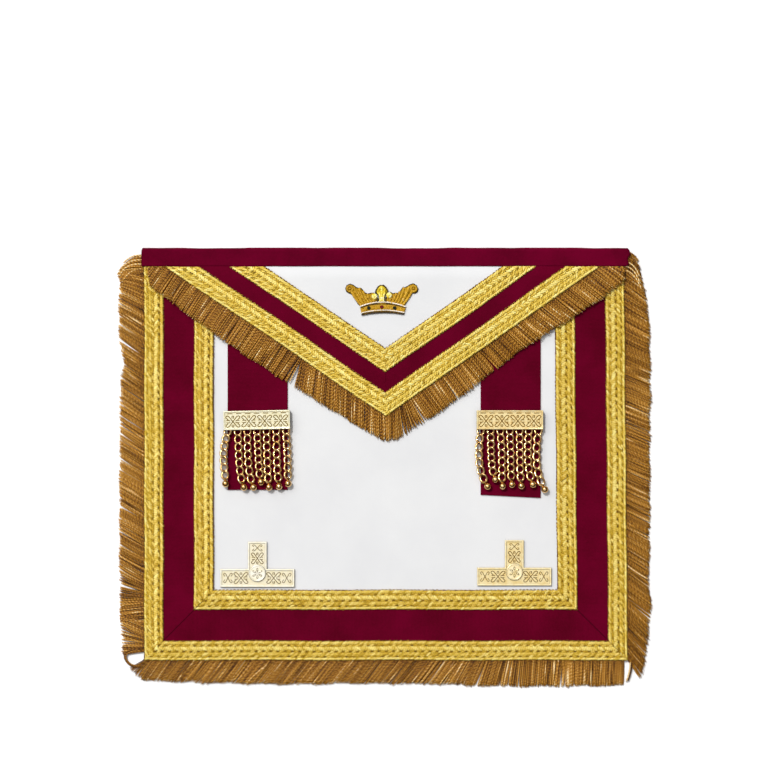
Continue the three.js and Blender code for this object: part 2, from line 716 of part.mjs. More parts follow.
// Crown badge on the flap
const crown = new THREE.Group();
crown.position.set(crownShift, -crownDrop, flapOverBraid + leatherThickness + layerGap);
addPiece(crown, "crown_arms", crownArms(), "embroidery");
addPiece(crown, "crown_fleur", crownFleur(), "fleur", [0, crownBandHeight + crownArch + layerGap, 0]);
const jewelHeight = crownThickness + layerGap;
const jewelRise = crownBandHeight / 2;
const jewelDrop = crownArch * (1 - (crownJewelReach / crownBandHalf) ** 2);
addPiece(crown, "crown_jewel_red", crownJewel(), "redGlass", [0, jewelRise + crownArch, jewelHeight]);
[["left", -1], ["right", 1]].forEach(([name, hand]) => {
  const place = [hand * crownJewelReach, jewelRise + jewelDrop, jewelHeight];
  addPiece(crown, `crown_jewel_green_${name}`, crownJewel(), "greenGlass", place);
});
apron.add(crown);

// Tassels on the body panel
tassels.forEach((tassel) => {
  const { side, across, down, tilt, linked } = tassel;
  addPiece(apron, `tassel_ribbon_${side}`, tasselRibbon(tassel), "ribbon");
  const x = across * panelHalf;
  const y = -down * flapDepth;
  const hung = new THREE.Group();
  hung.position.set(x + (barHeight / 2) * Math.sin(tilt), y - (barHeight / 2) * Math.cos(tilt), tasselLift);
  hung.rotation.z = tilt;
  addPiece(hung, `tassel_bar_${side}`, tasselBar(linked), "metal");
  chainRoutes[side].forEach((row, index) => {
    const chain = index < linked ? linkedChain(index, row) : tubeChain(index, row);
    addPiece(hung, `chain_${side}_${index + 1}`, chain, "metal");
  });
  apron.add(hung);
});

// Level plates on the body panel
levels.forEach(({ side, across, down }) => {
  const x = across * panelHalf;
  const y = -down * panelDepth;
  addPiece(apron, `level_${side}`, level(), "metal", [x, y, ribbonLift]);
  const discPlace = [x, y + levelDiscDrop, ribbonLift + levelThickness + layerGap];
  addPiece(apron, `level_disc_${side}`, levelDisc(), "metal", discPlace);
});

// The origin is the middle of the underside.
const bounds = new THREE.Box3().setFromObject(apron, true);
const middle = bounds.getCenter(new THREE.Vector3());
apron.position.set(-middle.x, -middle.y, -bounds.min.z);

export default apron;
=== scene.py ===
import math

import bpy
import numpy as np
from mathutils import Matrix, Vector


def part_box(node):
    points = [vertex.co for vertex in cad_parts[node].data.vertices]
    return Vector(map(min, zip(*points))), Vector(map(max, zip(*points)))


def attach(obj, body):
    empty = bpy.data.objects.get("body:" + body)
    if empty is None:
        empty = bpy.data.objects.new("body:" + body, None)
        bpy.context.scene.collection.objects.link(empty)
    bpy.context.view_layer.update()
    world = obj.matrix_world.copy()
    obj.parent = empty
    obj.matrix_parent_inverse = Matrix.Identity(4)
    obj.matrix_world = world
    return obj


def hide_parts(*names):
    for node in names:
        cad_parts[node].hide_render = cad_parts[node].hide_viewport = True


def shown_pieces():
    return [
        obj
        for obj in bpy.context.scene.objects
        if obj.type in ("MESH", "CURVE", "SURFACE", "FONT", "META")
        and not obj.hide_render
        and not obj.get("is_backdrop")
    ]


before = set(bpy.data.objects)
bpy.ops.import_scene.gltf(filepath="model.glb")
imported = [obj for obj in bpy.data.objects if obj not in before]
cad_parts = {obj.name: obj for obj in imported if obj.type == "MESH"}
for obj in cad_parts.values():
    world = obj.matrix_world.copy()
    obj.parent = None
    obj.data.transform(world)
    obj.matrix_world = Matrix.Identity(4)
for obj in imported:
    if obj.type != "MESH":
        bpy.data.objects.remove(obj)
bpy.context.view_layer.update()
print("frame loaded")

mm = 0.001
chance = np.random.default_rng(20)

# The apron is drawn in plan, in millimetres: y = 0 along the top edge, x = 0 down the middle
waistLeft = -204.5
waistLow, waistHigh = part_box("waistband")
planOrigin = np.array([waistLow[0] - waistLeft * mm, waistHigh[1], 0.0])

view = {
    "pixel": 0.843,  # millimetres of the apron in one pixel of the picture
    "pixels": 768,
    "middle": (0.0, -115.1),  # what the camera looks straight down at
    "height": 3.0,
    "sensor": 36.0,
}
light = {
    # bright round one direction and dark towards the horizon, so metal has something to mirror
    "sky": {"towards": (-0.2, 0.24, 0.95), "dark": 0.03, "bright": 0.78, "from": 0.42, "to": 0.84},
    "softBox": {"power": 17.0, "size": 1.6, "place": (-1.3, 1.4, 1.8)},
    "sun": {"power": 2.0, "angle": 4.0, "place": (-0.36, 0.56, 1.15)},
}

body = {
    # the outer braid's outer edge, from the top left round to the top right
    "corners": [(-202.3, 0.0), (-202.3, -347.7), (205.5, -347.7), (202.3, 0.0)],
    # how high the cloth lies at each y: flat on the table, and up over the waistband's back
    "lie": [(-900, 0.0), (-20.8, 0.0), (-16.1, 1.3), (900, 1.3)],
    "top": -16.1,  # the waistband's lower edge
    "slopeEnd": -20.8,
    "inner": 42.4,  # how far in the inner braid starts
    "sides": ["left", "bottom", "right"],
}
flap = {
    "corners": [(-184.0, -16.1), (1.7, -142.0), (181.4, -16.1)],
    "lie": [
        (-900, 1.5), (-167.6, 1.5), (-119.3, 2.8), (-98.0, 2.8),
        (-78.1, 4.8), (-20.8, 4.8), (-16.1, 2.8), (900, 2.8),
    ],
    "top": -16.1,
    "inner": 30.4,
    "sides": ["left", "right"],
}
floorLie = [(-900, 0.0), (-20.8, 0.0), (-16.1, 1.0), (900, 1.0)]
layers = {
    "leather": 1.2,
    "ribbonLift": 1.5,
    "ribbon": 0.9,
    "braidLift": 2.8,
    "braidWidth": 16.2,
    "panelInset": 6.0,  # of leather and ribbon from the outer edge
    "tuckTop": -2.8,  # where the leather ends inside the waistband
    "mitre": {"ribbon": -0.12, "braid": 0.02},  # how far each piece stops short of its mitre
}


def paint(red, green, blue):
    # a colour as a screen shows it, made linear for the shaders
    shares = [value / 255 for value in (red, green, blue)]
    return tuple(s / 12.92 if s <= 0.04045 else ((s + 0.055) / 1.055) ** 2.4 for s in shares)


def toFrame(points):
    return np.asarray(points, float) * mm + planOrigin


def lieAt(lie, y):
    return np.interp(y, [row[0] for row in lie], [row[1] for row in lie])


# Plan geometry: edges moved inwards, and the corners where they meet

def unit(vector):
    vector = np.asarray(vector, float)
    return vector / np.linalg.norm(vector)


def meet(place, run, otherPlace, otherRun):
    shares = np.linalg.solve(np.array([run, -otherRun]).T, otherPlace - place)
    return place + run * shares[0]


def insetCorners(corners, inset, top):
    edges = []
    for start, end in zip(corners[:-1], corners[1:]):
        run = unit(np.subtract(end, start))
        edges.append((np.array(start) + inset * np.array([-run[1], run[0]]), run))
    level = (np.array([0.0, top]), np.array([1.0, 0.0]))
    inner = [meet(*first, *second) for first, second in zip(edges[:-1], edges[1:])]
    return [meet(*edges[0], *level), *inner, meet(*edges[-1], *level)]


def stripOutline(corners, side, outer, inner, top, kind):
    outerCorners = insetCorners(corners, outer, top)
    innerCorners = insetCorners(corners, inner, top)
    run = unit(np.subtract(corners[side + 1], corners[side]))
    startShift = run * layers["mitre"][kind] * (side > 0)
    endShift = -run * layers["mitre"][kind] * (side < len(corners) - 2)
    return np.array([
        outerCorners[side] + startShift,
        outerCorners[side + 1] + endShift,
        innerCorners[side + 1] + endShift,
        innerCorners[side] + startShift,
    ])


# Object helpers

def pickOnly(piece):
    bpy.ops.object.select_all(action="DESELECT")
    piece.select_set(True)
    bpy.context.view_layer.objects.active = piece


def edit(piece, choose="SELECT"):
    pickOnly(piece)
    bpy.ops.object.mode_set(mode="EDIT")
    bpy.ops.mesh.select_all(action=choose)


def endEdit():
    bpy.ops.object.mode_set(mode="OBJECT")


def editFaces(piece, wanted):
    # goes into edit mode with the faces picked for which wanted is true
    edit(piece, "DESELECT")
    endEdit()
    for face in piece.data.polygons:
        face.select = wanted(face)
    bpy.ops.object.mode_set(mode="EDIT")
    bpy.ops.mesh.select_mode(type="FACE")


def pullUp(height):
    bpy.ops.mesh.extrude_region_move(TRANSFORM_OT_translate={"value": (0, 0, height)})


def faceOut(piece):
    edit(piece)
    bpy.ops.mesh.normals_make_consistent(inside=False)
    endEdit()


def apply(piece, kind, **settings):
    modifier = piece.modifiers.new(kind.lower(), kind)
    for key, value in settings.items():
        setattr(modifier, key, value)
    pickOnly(piece)
    bpy.ops.object.modifier_apply(modifier=modifier.name)


def pointsOf(piece):
    points = np.empty(len(piece.data.vertices) * 3)
    piece.data.vertices.foreach_get("co", points)
    return points.reshape(-1, 3)


def movePoints(piece, points):
    piece.data.vertices.foreach_set("co", np.asarray(points, float).ravel())
    piece.data.update()


def cornersOf(mesh):
    corners = np.empty(len(mesh.loops), dtype=np.int64)
    mesh.loops.foreach_get("vertex_index", corners)
    return corners


def layFlat(piece, flats):
    # the piece's own flat layout, in millimetres, for the patterns of cloth
    while piece.data.uv_layers:
        piece.data.uv_layers.remove(piece.data.uv_layers[0])
    layout = piece.data.uv_layers.new(name="flat")
    layout.data.foreach_set("uv", flats[cornersOf(piece.data)].ravel())


def cutTo(piece, outline, fill=False, edges=None):
    # trims a piece to a convex outline, straight down through it
    outline = np.asarray(outline, float)
    middle = outline.mean(axis=0)
    for index in range(len(outline)) if edges is None else edges:
        start, end = outline[index], outline[(index + 1) % len(outline)]
        run = unit(end - start)
        away = np.array([run[1], -run[0]])
        if away @ (start - middle) < 0:
            away = -away
        edit(piece)
        bpy.ops.mesh.bisect(
            plane_co=(start[0], start[1], 0), plane_no=(away[0], away[1], 0),
            use_fill=fill, clear_outer=True, threshold=0.0001,
        )
        endEdit()


def takeShape(piece):
    # a modelled source as arrays, to be copied many times
    starts = np.empty(len(piece.data.polygons), dtype=np.int64)
    piece.data.polygons.foreach_get("loop_start", starts)
    shape = {"points": pointsOf(piece), "corners": cornersOf(piece.data), "starts": starts}
    bpy.data.objects.remove(piece, do_unlink=True)
    return shape


def joinedCopies(name, groups):
    # one mesh of many copies: each group is a shape with its placed points, flat layout and tones
    points, corners, starts, flats, tones = [], [], [], [], []
    pointBase, cornerBase = 0, 0
    for shape, placed, flat, tone in groups:
        count, size = placed.shape[:2]
        steps = np.arange(count)[:, None]
        corners.append((shape["corners"] + steps * size).ravel() + pointBase)
        starts.append((shape["starts"] + steps * len(shape["corners"])).ravel() + cornerBase)
        points.append(placed.reshape(-1, 3))
        flats.append(flat.reshape(-1, 2))
        tone = np.asarray(tone, float).reshape(count, -1)
        tones.append(np.broadcast_to(tone, (count, size)).ravel())
        pointBase += count * size
        cornerBase += count * len(shape["corners"])
    lists = (points, corners, starts, flats, tones)
    points, corners, starts, flats, tones = (np.concatenate(items) for items in lists)
    mesh = bpy.data.meshes.new(name)
    mesh.vertices.add(len(points))
    mesh.vertices.foreach_set("co", points.ravel())
    mesh.loops.add(len(corners))
    mesh.loops.foreach_set("vertex_index", corners)
    mesh.polygons.add(len(starts))
    mesh.polygons.foreach_set("loop_start", starts)
    mesh.update(calc_edges=True)
    mesh.polygons.foreach_set("use_smooth", np.ones(len(starts), dtype=bool))
    layout = mesh.uv_layers.new(name="flat")
    layout.data.foreach_set("uv", flats[corners].ravel())
    shade = mesh.attributes.new("tone", "FLOAT", "POINT")
    shade.data.foreach_set("value", tones)
    piece = bpy.data.objects.new(name, mesh)
    bpy.context.collection.objects.link(piece)
    return piece


def settle(piece, name, finish, nodes=()):
    # names a finished piece, dresses it and puts it on the apron
    piece.name = name
    piece.data.name = name
    piece.data.materials.clear()
    piece.data.materials.append(finish)
    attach(piece, "root")
    if nodes:
        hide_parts(*nodes)
    return piece


# Shader maths as Python

class Wire:
    def __init__(self, recipe, socket):
        self.recipe, self.socket = recipe, socket

    def __add__(self, other):
        return self.recipe.maths("ADD", self, other)

    def __radd__(self, other):
        return self.recipe.maths("ADD", other, self)

    def __sub__(self, other):
        return self.recipe.maths("SUBTRACT", self, other)

    def __rsub__(self, other):
        return self.recipe.maths("SUBTRACT", other, self)

    def __mul__(self, other):
        return self.recipe.maths("MULTIPLY", self, other)

    def __rmul__(self, other):
        return self.recipe.maths("MULTIPLY", other, self)


class Recipe:
    def __init__(self, name, fixed, holders=bpy.data.materials, shader="Principled BSDF"):
        self.material = holders.new(name)
        self.material.use_nodes = True
        self.tree = self.material.node_tree
        self.shader = self.tree.nodes[shader]
        for socket, value in fixed.items():
            self.shader.inputs[socket].default_value = value

    def node(self, kind, settings, sockets, output=0):
        made = self.tree.nodes.new(kind)
        for key, value in settings.items():
            if key == "stops":
                ramp = made.color_ramp
                ramp.elements.remove(ramp.elements[1])
                ramp.elements[0].position = value[0][0]
                ramp.elements[0].color = (*value[0][1], 1)
                for place, colour in value[1:]:
                    ramp.elements.new(place).color = (*colour, 1)
            else:
                setattr(made, key, value)
        for key, value in sockets.items():
            if isinstance(value, Wire):
                self.tree.links.new(value.socket, made.inputs[key])
            elif isinstance(value, tuple) and made.inputs[key].type == "RGBA":
                made.inputs[key].default_value = (*value, 1)
            else:
                made.inputs[key].default_value = value
        return Wire(self, made.outputs[output])

    def maths(self, operation, first, second=0.0):
        return self.node("ShaderNodeMath", {"operation": operation}, {0: first, 1: second})

    def place(self):
        return self.node("ShaderNodeTexCoord", {}, {}, "Object")

    def flat(self):
        return self.node("ShaderNodeUVMap", {"uv_map": "flat"}, {})

    def tone(self):
        return self.node("ShaderNodeAttribute", {"attribute_name": "tone"}, {}, "Fac")

    def part(self, vector, axis):
        return self.node("ShaderNodeSeparateXYZ", {}, {0: vector}, axis)

    def noise(self, vector, scale, detail=3.0, roughness=0.55):
        sockets = {"Vector": vector, "Scale": scale, "Detail": detail, "Roughness": roughness}
        return self.node("ShaderNodeTexNoise", {}, sockets)

    def ramp(self, value, stops):
        return self.node("ShaderNodeValToRGB", {"stops": stops}, {0: value})

    def shaded(self, colour, shade):
        settings = {"data_type": "RGBA", "blend_type": "MULTIPLY"}
        return self.node("ShaderNodeMix", settings, {0: 1.0, 6: colour, 7: shade}, 2)

    def ripple(self, value, pitch):
        # a wave from 0 to 1 along a length, in the same unit as its pitch
        return self.maths("SINE", value * (2 * math.pi / pitch)) * 0.5 + 0.5

    def feed(self, socket, wire):
        self.tree.links.new(wire.socket, self.shader.inputs[socket])

    def bump(self, height, depth):
        sockets = {"Height": height, "Distance": depth, "Strength": 1.0}
        self.feed("Normal", self.node("ShaderNodeBump", {}, sockets, "Normal"))


def leatherFinish(name, pale, deep):
    recipe = Recipe(name, {"Roughness": 0.62, "Specular IOR Level": 0.3})
    place = recipe.place()
    cloudy = recipe.noise(place, 16.0, 4.0)
    grain = recipe.noise(place, 1300.0, 4.0, 0.65)
    creases = recipe.noise(place, 210.0, 3.0)
    recipe.feed("Base Color", recipe.ramp(cloudy, [(0.3, deep), (0.7, pale)]))
    recipe.bump(grain * 0.6 + creases * 0.5, 0.00012)
    return recipe.material


def ribbonFinish(name, light, dark, ribPitch):
    recipe = Recipe(name, {"Roughness": 0.8, "Specular IOR Level": 0.03})
    flat = recipe.flat()
    along = recipe.part(flat, "X")
    across = recipe.part(flat, "Y")
    ribs = recipe.ripple(along, ribPitch)
    threads = recipe.ripple(across, ribPitch * 0.55)
    place = recipe.place()
    cloudy = recipe.noise(place, 30.0, 4.0)
    fine = recipe.noise(place, 700.0, 2.0)
    shade = cloudy * 0.7 + fine * 0.3 + ribs * 0.12
    recipe.feed("Base Color", recipe.ramp(shade, [(0.38, dark), (0.72, light)]))
    recipe.bump(ribs * 0.7 + threads * 0.3 + fine * 0.3, 0.00012)
    return recipe.material


def bands(*rows):
    # the stops of a ramp, each given as its place and its red, green and blue
    return [(place, paint(*colour)) for place, *colour in rows]


def threadFinish(name, stops, threadPitch, twist, contrast, mottle, depth=0.00012):
    # metal thread: the tone of each strand picks its colour, and fine turns run round it, bumped
    # and also painted light and dark as shade and highlight on the twist
    recipe = Recipe(name, {"Roughness": 0.5, "Metallic": 0.08, "Specular IOR Level": 0.3})
    flat = recipe.flat()
    along = recipe.part(flat, "X")
    across = recipe.part(flat, "Y")
    turns = recipe.ripple(along + across * twist, threadPitch)
    blotch = recipe.noise(flat, mottle, 2.0)
    # the turns are painted into the colour as shade and highlight
    shade = recipe.tone() + (turns - 0.5) * contrast + (blotch - 0.5) * contrast * 1.9
    recipe.feed("Base Color", recipe.ramp(shade, stops))
    recipe.bump(turns, depth)
    return recipe.material


def metalFinish(name, colour, tarnish, roughness, metallic=1.0, heights=None, stops=None):
    # where heights are given, the colour follows how high a place is too: painted shade darkens the
    # sides and the ornament's lines, so relief is outlined
    fixed = {"Metallic": metallic, "Roughness": roughness, "Specular IOR Level": 0.2}
    recipe = Recipe(name, fixed)
    place = recipe.place()
    patina = recipe.noise(place, 260.0, 4.0)
    scratches = recipe.noise(place, 1800.0, 3.0)
    shade = recipe.ramp(patina, [(0.34, tarnish), (0.6, colour)])
    if heights:
        low, high = heights
        # noise that breaks up the edges of the painted shade
        shadeWobble = recipe.noise(place, 420.0, 3.0, 0.7)
        rise = (recipe.part(place, "Z") - low * mm) * (1 / ((high - low) * mm))
        shade = recipe.shaded(shade, recipe.ramp(rise + (shadeWobble - 0.5) * 0.05, stops))
    recipe.feed("Base Color", shade)
    recipe.feed("Roughness", scratches * 0.16 + (roughness - 0.06))
    recipe.bump(patina * 0.6 + scratches * 0.2, 0.00004)
    return recipe.material


def glassFinish(name, colour):
    recipe = Recipe(name, {"Roughness": 0.2, "Specular IOR Level": 0.25})
    cloudy = recipe.noise(recipe.place(), 900.0, 2.0)
    deep = tuple(0.4 * value for value in colour)
    recipe.feed("Base Color", recipe.ramp(cloudy, [(0.35, deep), (0.7, colour)]))
    return recipe.material


# how bright each height of a casting is, with painted shade: its sides dark, the sunk field bright,
# the lines on it dark, and its rim bright
barShadeBands = bands(
    (0.0, 96, 78, 34), (0.78, 150, 130, 70), (0.815, 250, 246, 238), (0.852, 250, 246, 238),
    (0.872, 122, 100, 48), (0.912, 130, 108, 54), (0.945, 255, 253, 248),
)
# on the levels, the boss's sides, the ring round its foot and the petals' lower sides are painted
# dark as shade too
levelShadeBands = bands(
    (0.0, 96, 76, 34), (0.42, 120, 100, 54), (0.46, 242, 237, 222), (0.505, 242, 237, 222),
    (0.52, 100, 76, 30), (0.6, 110, 86, 38), (0.64, 255, 254, 250), (0.7, 255, 254, 250),
    (0.73, 60, 46, 20), (0.85, 66, 50, 24), (0.87, 255, 254, 252), (0.905, 255, 254, 252),
    (0.92, 104, 90, 60), (0.955, 120, 104, 72), (0.97, 255, 254, 252),
)
barMetal = {"roughness": 0.24, "metallic": 0.6, "heights": (2.8, 8.4), "stops": barShadeBands}
levelMetal = {"roughness": 0.3, "metallic": 0.45, "heights": (1.5, 4.8), "stops": levelShadeBands}
# from one turn of the thread to the next, its slant, how strong the painted shade of its turns and
# its mottle are, and how fine its mottle is
braidTurns = {"threadPitch": 1.9, "twist": 0.7, "contrast": 0.2, "mottle": 0.5}
finishes = {
    "leather": leatherFinish("whiteLeather", paint(225, 225, 225), paint(218, 218, 219)),
    "ribbon": ribbonFinish("crimsonRibbon", paint(101, 0, 34), paint(80, 0, 22), 1.1),
    "band": ribbonFinish("crimsonBand", paint(106, 0, 37), paint(82, 0, 25), 0.9),
    "seam": ribbonFinish("crimsonSeam", paint(64, 0, 18), paint(50, 0, 14), 1.1),
    "braid": threadFinish("goldBraid", bands(
        (0.0, 96, 66, 4), (0.22, 170, 130, 20), (0.5, 222, 184, 56), (0.9, 255, 240, 150),
    ), **braidTurns),
    # the same gold braid painted paler for the flap: painted light, for the brighter highlights its
    # braids show
    "flapBraid": threadFinish("paleGoldBraid", bands(
        (0.0, 112, 84, 10), (0.22, 190, 152, 34), (0.5, 232, 198, 74), (0.9, 255, 243, 156),
    ), **braidTurns),
    "fringe": threadFinish("bullionFringe", bands(
        (0.0, 50, 24, 2), (0.25, 112, 66, 8), (0.5, 168, 113, 26),
        (0.75, 212, 158, 66), (1.0, 255, 234, 184),
    ), threadPitch=2.6, twist=0.9, contrast=0.34, mottle=0.9, depth=0.0002),
    "palemetal": metalFinish("paleGilt", paint(255, 252, 228), paint(246, 238, 200), **barMetal),
    "warmmetal": metalFinish("warmGilt", paint(255, 238, 186), paint(246, 216, 150), **barMetal),
    "chain": metalFinish("chainGilt", paint(246, 206, 146), paint(200, 152, 84), 0.15),
    "level": metalFinish("levelGilt", paint(254, 250, 236), paint(248, 240, 212), **levelMetal),
    "warmlevel": metalFinish(
        "warmLevelGilt", paint(254, 240, 198), paint(244, 220, 160), **levelMetal,
    ),
    "crownGold": threadFinish("crownGold", bands(
        (0.0, 34, 22, 8), (0.2, 116, 84, 8), (0.42, 182, 136, 14), (0.62, 208, 160, 32),
        (0.78, 226, 184, 62), (0.93, 255, 244, 230),
    ), threadPitch=1.4, twist=0.0, contrast=0.2, mottle=1.2),
    "crownYellow": threadFinish("crownYellow", bands(
        (0.0, 44, 22, 8), (0.3, 176, 142, 14), (0.6, 238, 208, 40), (0.8, 255, 236, 104),
        (1.0, 255, 248, 190),
    ), threadPitch=1.4, twist=0.0, contrast=0.14, mottle=1.2),
    "red": glassFinish("redGlass", paint(120, 4, 10)),
    "green": glassFinish("greenGlass", paint(26, 34, 14)),
}
print("finishes made")


# Floor, light and camera

def layFloor():
    bpy.ops.object.select_all(action="DESELECT")
    bpy.ops.mesh.primitive_plane_add(size=8, location=(0, 0, -0.0004))
    floor = bpy.context.object
    floor.name = "floor"
    recipe = Recipe("paleFloor", {"Roughness": 0.9, "Specular IOR Level": 0.1})
    cloudy = recipe.noise(recipe.place(), 3.0)
    whites = [(0.3, (0.97, 0.97, 0.97)), (0.7, (1.0, 1.0, 1.0))]
    recipe.feed("Base Color", recipe.ramp(cloudy, whites))
    floor.data.materials.append(recipe.material)
    floor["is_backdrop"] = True


def lightSky():
    sky = light["sky"]
    recipe = Recipe("softWhite", {"Color": (1, 1, 1, 1)}, bpy.data.worlds, "Background")
    ray = recipe.node("ShaderNodeTexCoord", {}, {}, "Generated")
    turn = {0: ray, 1: unit(sky["towards"])}
    facing = recipe.node("ShaderNodeVectorMath", {"operation": "DOT_PRODUCT"}, turn, "Value")
    glow = recipe.node("ShaderNodeMapRange", {"interpolation_type": "SMOOTHSTEP"}, {
        "Value": facing, "From Min": sky["from"], "From Max": sky["to"],
        "To Min": sky["dark"], "To Max": sky["bright"],
    })
    recipe.feed("Strength", glow)
    bpy.context.scene.world = recipe.material


def hangLamps():
    for name, kind in (("softBox", "AREA"), ("sun", "SUN")):
        glow = bpy.data.lights.new(name, kind)
        glow.energy = light[name]["power"]
        if kind == "AREA":
            glow.size = light[name]["size"]
        else:
            glow.angle = math.radians(light[name]["angle"])
        lamp = bpy.data.objects.new(name, glow)
        lamp.location = light[name]["place"]
        lamp.rotation_euler = Vector(light[name]["place"]).to_track_quat("Z", "Y").to_euler()
        bpy.context.collection.objects.link(lamp)


def placeCamera():
    lens = bpy.data.cameras.new("overhead")
    lens.sensor_width = view["sensor"]
    lens.lens = view["sensor"] * view["height"] / (view["pixel"] * view["pixels"] * mm)
    camera = bpy.data.objects.new("overhead", lens)
    camera.location = toFrame((*view["middle"], 0)) + np.array([0, 0, view["height"] + 0.004])
    bpy.context.collection.objects.link(camera)
    bpy.context.scene.camera = camera
    bpy.context.scene.view_settings.view_transform = "Standard"


layFloor()
lightSky()
hangLamps()
placeCamera()
print("stage set")


# Cloth: sheets cut to an outline and laid over what is under them

def layCloth(outline, lie, lift, thickness, cell, run=(1.0, 0.0)):
    outline = np.asarray(outline, float)
    run = unit(run)
    across = np.array([-run[1], run[0]])
    origin = outline[0]
    local = np.stack([(outline - origin) @ run, (outline - origin) @ across], axis=1)
    low, high = local.min(axis=0) - 1, local.max(axis=0) + 1
    counts = np.maximum(2, np.round((high - low) / cell)).astype(int)
    bpy.ops.object.select_all(action="DESELECT")
    bpy.ops.mesh.primitive_grid_add(
        x_subdivisions=int(counts[0]), y_subdivisions=int(counts[1]), size=1
    )
    piece = bpy.context.object
    spread = low + (pointsOf(piece)[:, :2] + 0.5) * (high - low)
    plan = origin + spread[:, :1] * run + spread[:, 1:] * across
    movePoints(piece, np.column_stack([plan, np.zeros(len(plan))]))
    cutTo(piece, outline)
    points = pointsOf(piece)
    layFlat(piece, np.column_stack([(points[:, :2] - origin) @ line for line in (run, across)]))
    points[:, 2] = lieAt(lie, points[:, 1]) + lift
    movePoints(piece, toFrame(points))
    apply(piece, "SOLIDIFY", thickness=thickness * mm, offset=1.0)
    bpy.ops.object.shade_smooth_by_angle(angle=math.radians(40))
    (x, y), (lastX, lastY) = outline.T, np.roll(outline, 1, axis=0).T
    area = 0.5 * abs(np.dot(x, lastY) - np.dot(y, lastX))
    flatSize = ((local.max(axis=0) - local.min(axis=0)) * mm).tolist()
    return piece, flatSize, area * mm * mm


cells = {"panel": 7.0, "flap": 5.0, "border": 5.0, "tassel": 4.0}  # of the grid of each cloth


def layLeather(name, node, plan, cell):
    outline = insetCorners(plan["corners"], layers["panelInset"], layers["tuckTop"])
    piece, *flat = layCloth(outline, plan["lie"], 0.0, layers["leather"], cell)
    settle(piece, name, finishes["leather"], [node])


def layRibbon(name, node, outline, plan, cell, run):
    lift, thickness = layers["ribbonLift"], layers["ribbon"]
    piece, *flat = layCloth(outline, plan["lie"], lift, thickness, cell, run)
    settle(piece, name, finishes["ribbon"], [node])


layLeather("whitePanel", "body_panel", body, cells["panel"])
layLeather("whiteFlap", "flap_panel", flap, cells["flap"])
for cloth, node, plan, under in [
    ("borderRibbon", "border_ribbon", body, "whitePanel"),
    ("flapRibbon", "flap_ribbon", flap, "whiteFlap"),
]:
    corners, inner = plan["corners"], plan["inner"] + layers["braidWidth"]
    for side, name in enumerate(plan["sides"]):
        top = plan["top"] if name == "bottom" or plan is flap else plan["slopeEnd"]
        outline = stripOutline(corners, side, layers["panelInset"], inner, top, "ribbon")
        run = np.subtract(corners[side + 1], corners[side])
        layRibbon(f"{cloth}.{name}", f"{node}_{name}", outline, plan, cells["border"], run)

tasselRibbons = {
    "left": [(-131.9, -204.4), (-81.3, -204.4), (-81.3, -30.0), (-131.9, -30.0)],
    "right": [(81.5, -208.6), (132.1, -211.2), (132.1, -30.0), (81.5, -30.0)],
}
for name, outline in tasselRibbons.items():
    ribbonName, node = f"tasselRibbon.{name}", f"tassel_ribbon_{name}"
    layRibbon(ribbonName, node, outline, body, cells["tassel"], (0.0, -1.0))


def scrollTube(points, radius):
    # a smooth curve with a round section, made mesh
    curve = bpy.data.curves.new("scroll", "CURVE")
    curve.dimensions = "3D"
    curve.bevel_depth = radius
    curve.bevel_resolution = 1
    curve.use_fill_caps = True
    curve.resolution_u = 3
    spline = curve.splines.new("NURBS")
    spline.points.add(len(points) - 1)
    for knot, point in zip(spline.points, points):
        knot.co = (*point, 1)
    spline.use_endpoint_u = True
    spline.order_u = 3
    piece = bpy.data.objects.new("scroll", curve)
    bpy.context.collection.objects.link(piece)
    pickOnly(piece)
    bpy.ops.object.convert(target="MESH")
    return bpy.context.object


# the stitched seam at each mitre, from the inner corner outwards
seam = {"from": 42.0, "to": 17.0, "radius": 0.3, "height": 2.42, "points": 5}
seamStarts = insetCorners(body["corners"], seam["from"], body["top"])
seamEnds = insetCorners(body["corners"], seam["to"], body["top"])
for corner, name in ((1, "left"), (2, "right")):
    start, way = seamStarts[corner], seamEnds[corner] - seamStarts[corner]
    shares = np.linspace(0, 1, seam["points"])
    path = [(*(start + way * share), seam["height"]) for share in shares]
    piece = scrollTube(path, seam["radius"])
    movePoints(piece, toFrame(pointsOf(piece)))
    settle(piece, f"mitreSeam.{name}", finishes["seam"])
print("leather and ribbons laid")


# Waistband: a crimson tape folded over the top edge

waistband = {
    "left": waistLeft, "right": 207.9, "height": 15.8, "top": 5.2, "cloth": 0.85, "corner": 3.2,
    "columns": 150, "rows": 26,
    "fold": 0.5,  # how much tighter than half its height the tape's middle turns
    # waves along the folded edge: depth, length, shift, and how far they pull the edge in
    "waves": [(0.34, 31.0, 0.7), (0.26, 13.0, 0.0), (0.14, 5.3, 0.0)],
    "pull": 0.7,
    "ripple": 0.12,
    "wornLength": 10.0,
}
# the worn right end: how far below the top edge, and how far the cloth falls short there
waistbandEnd = [(0.4, 1.9), (5.6, -0.2), (9.8, 2.8), (14.3, 1.1), (16.0, 4.3)]


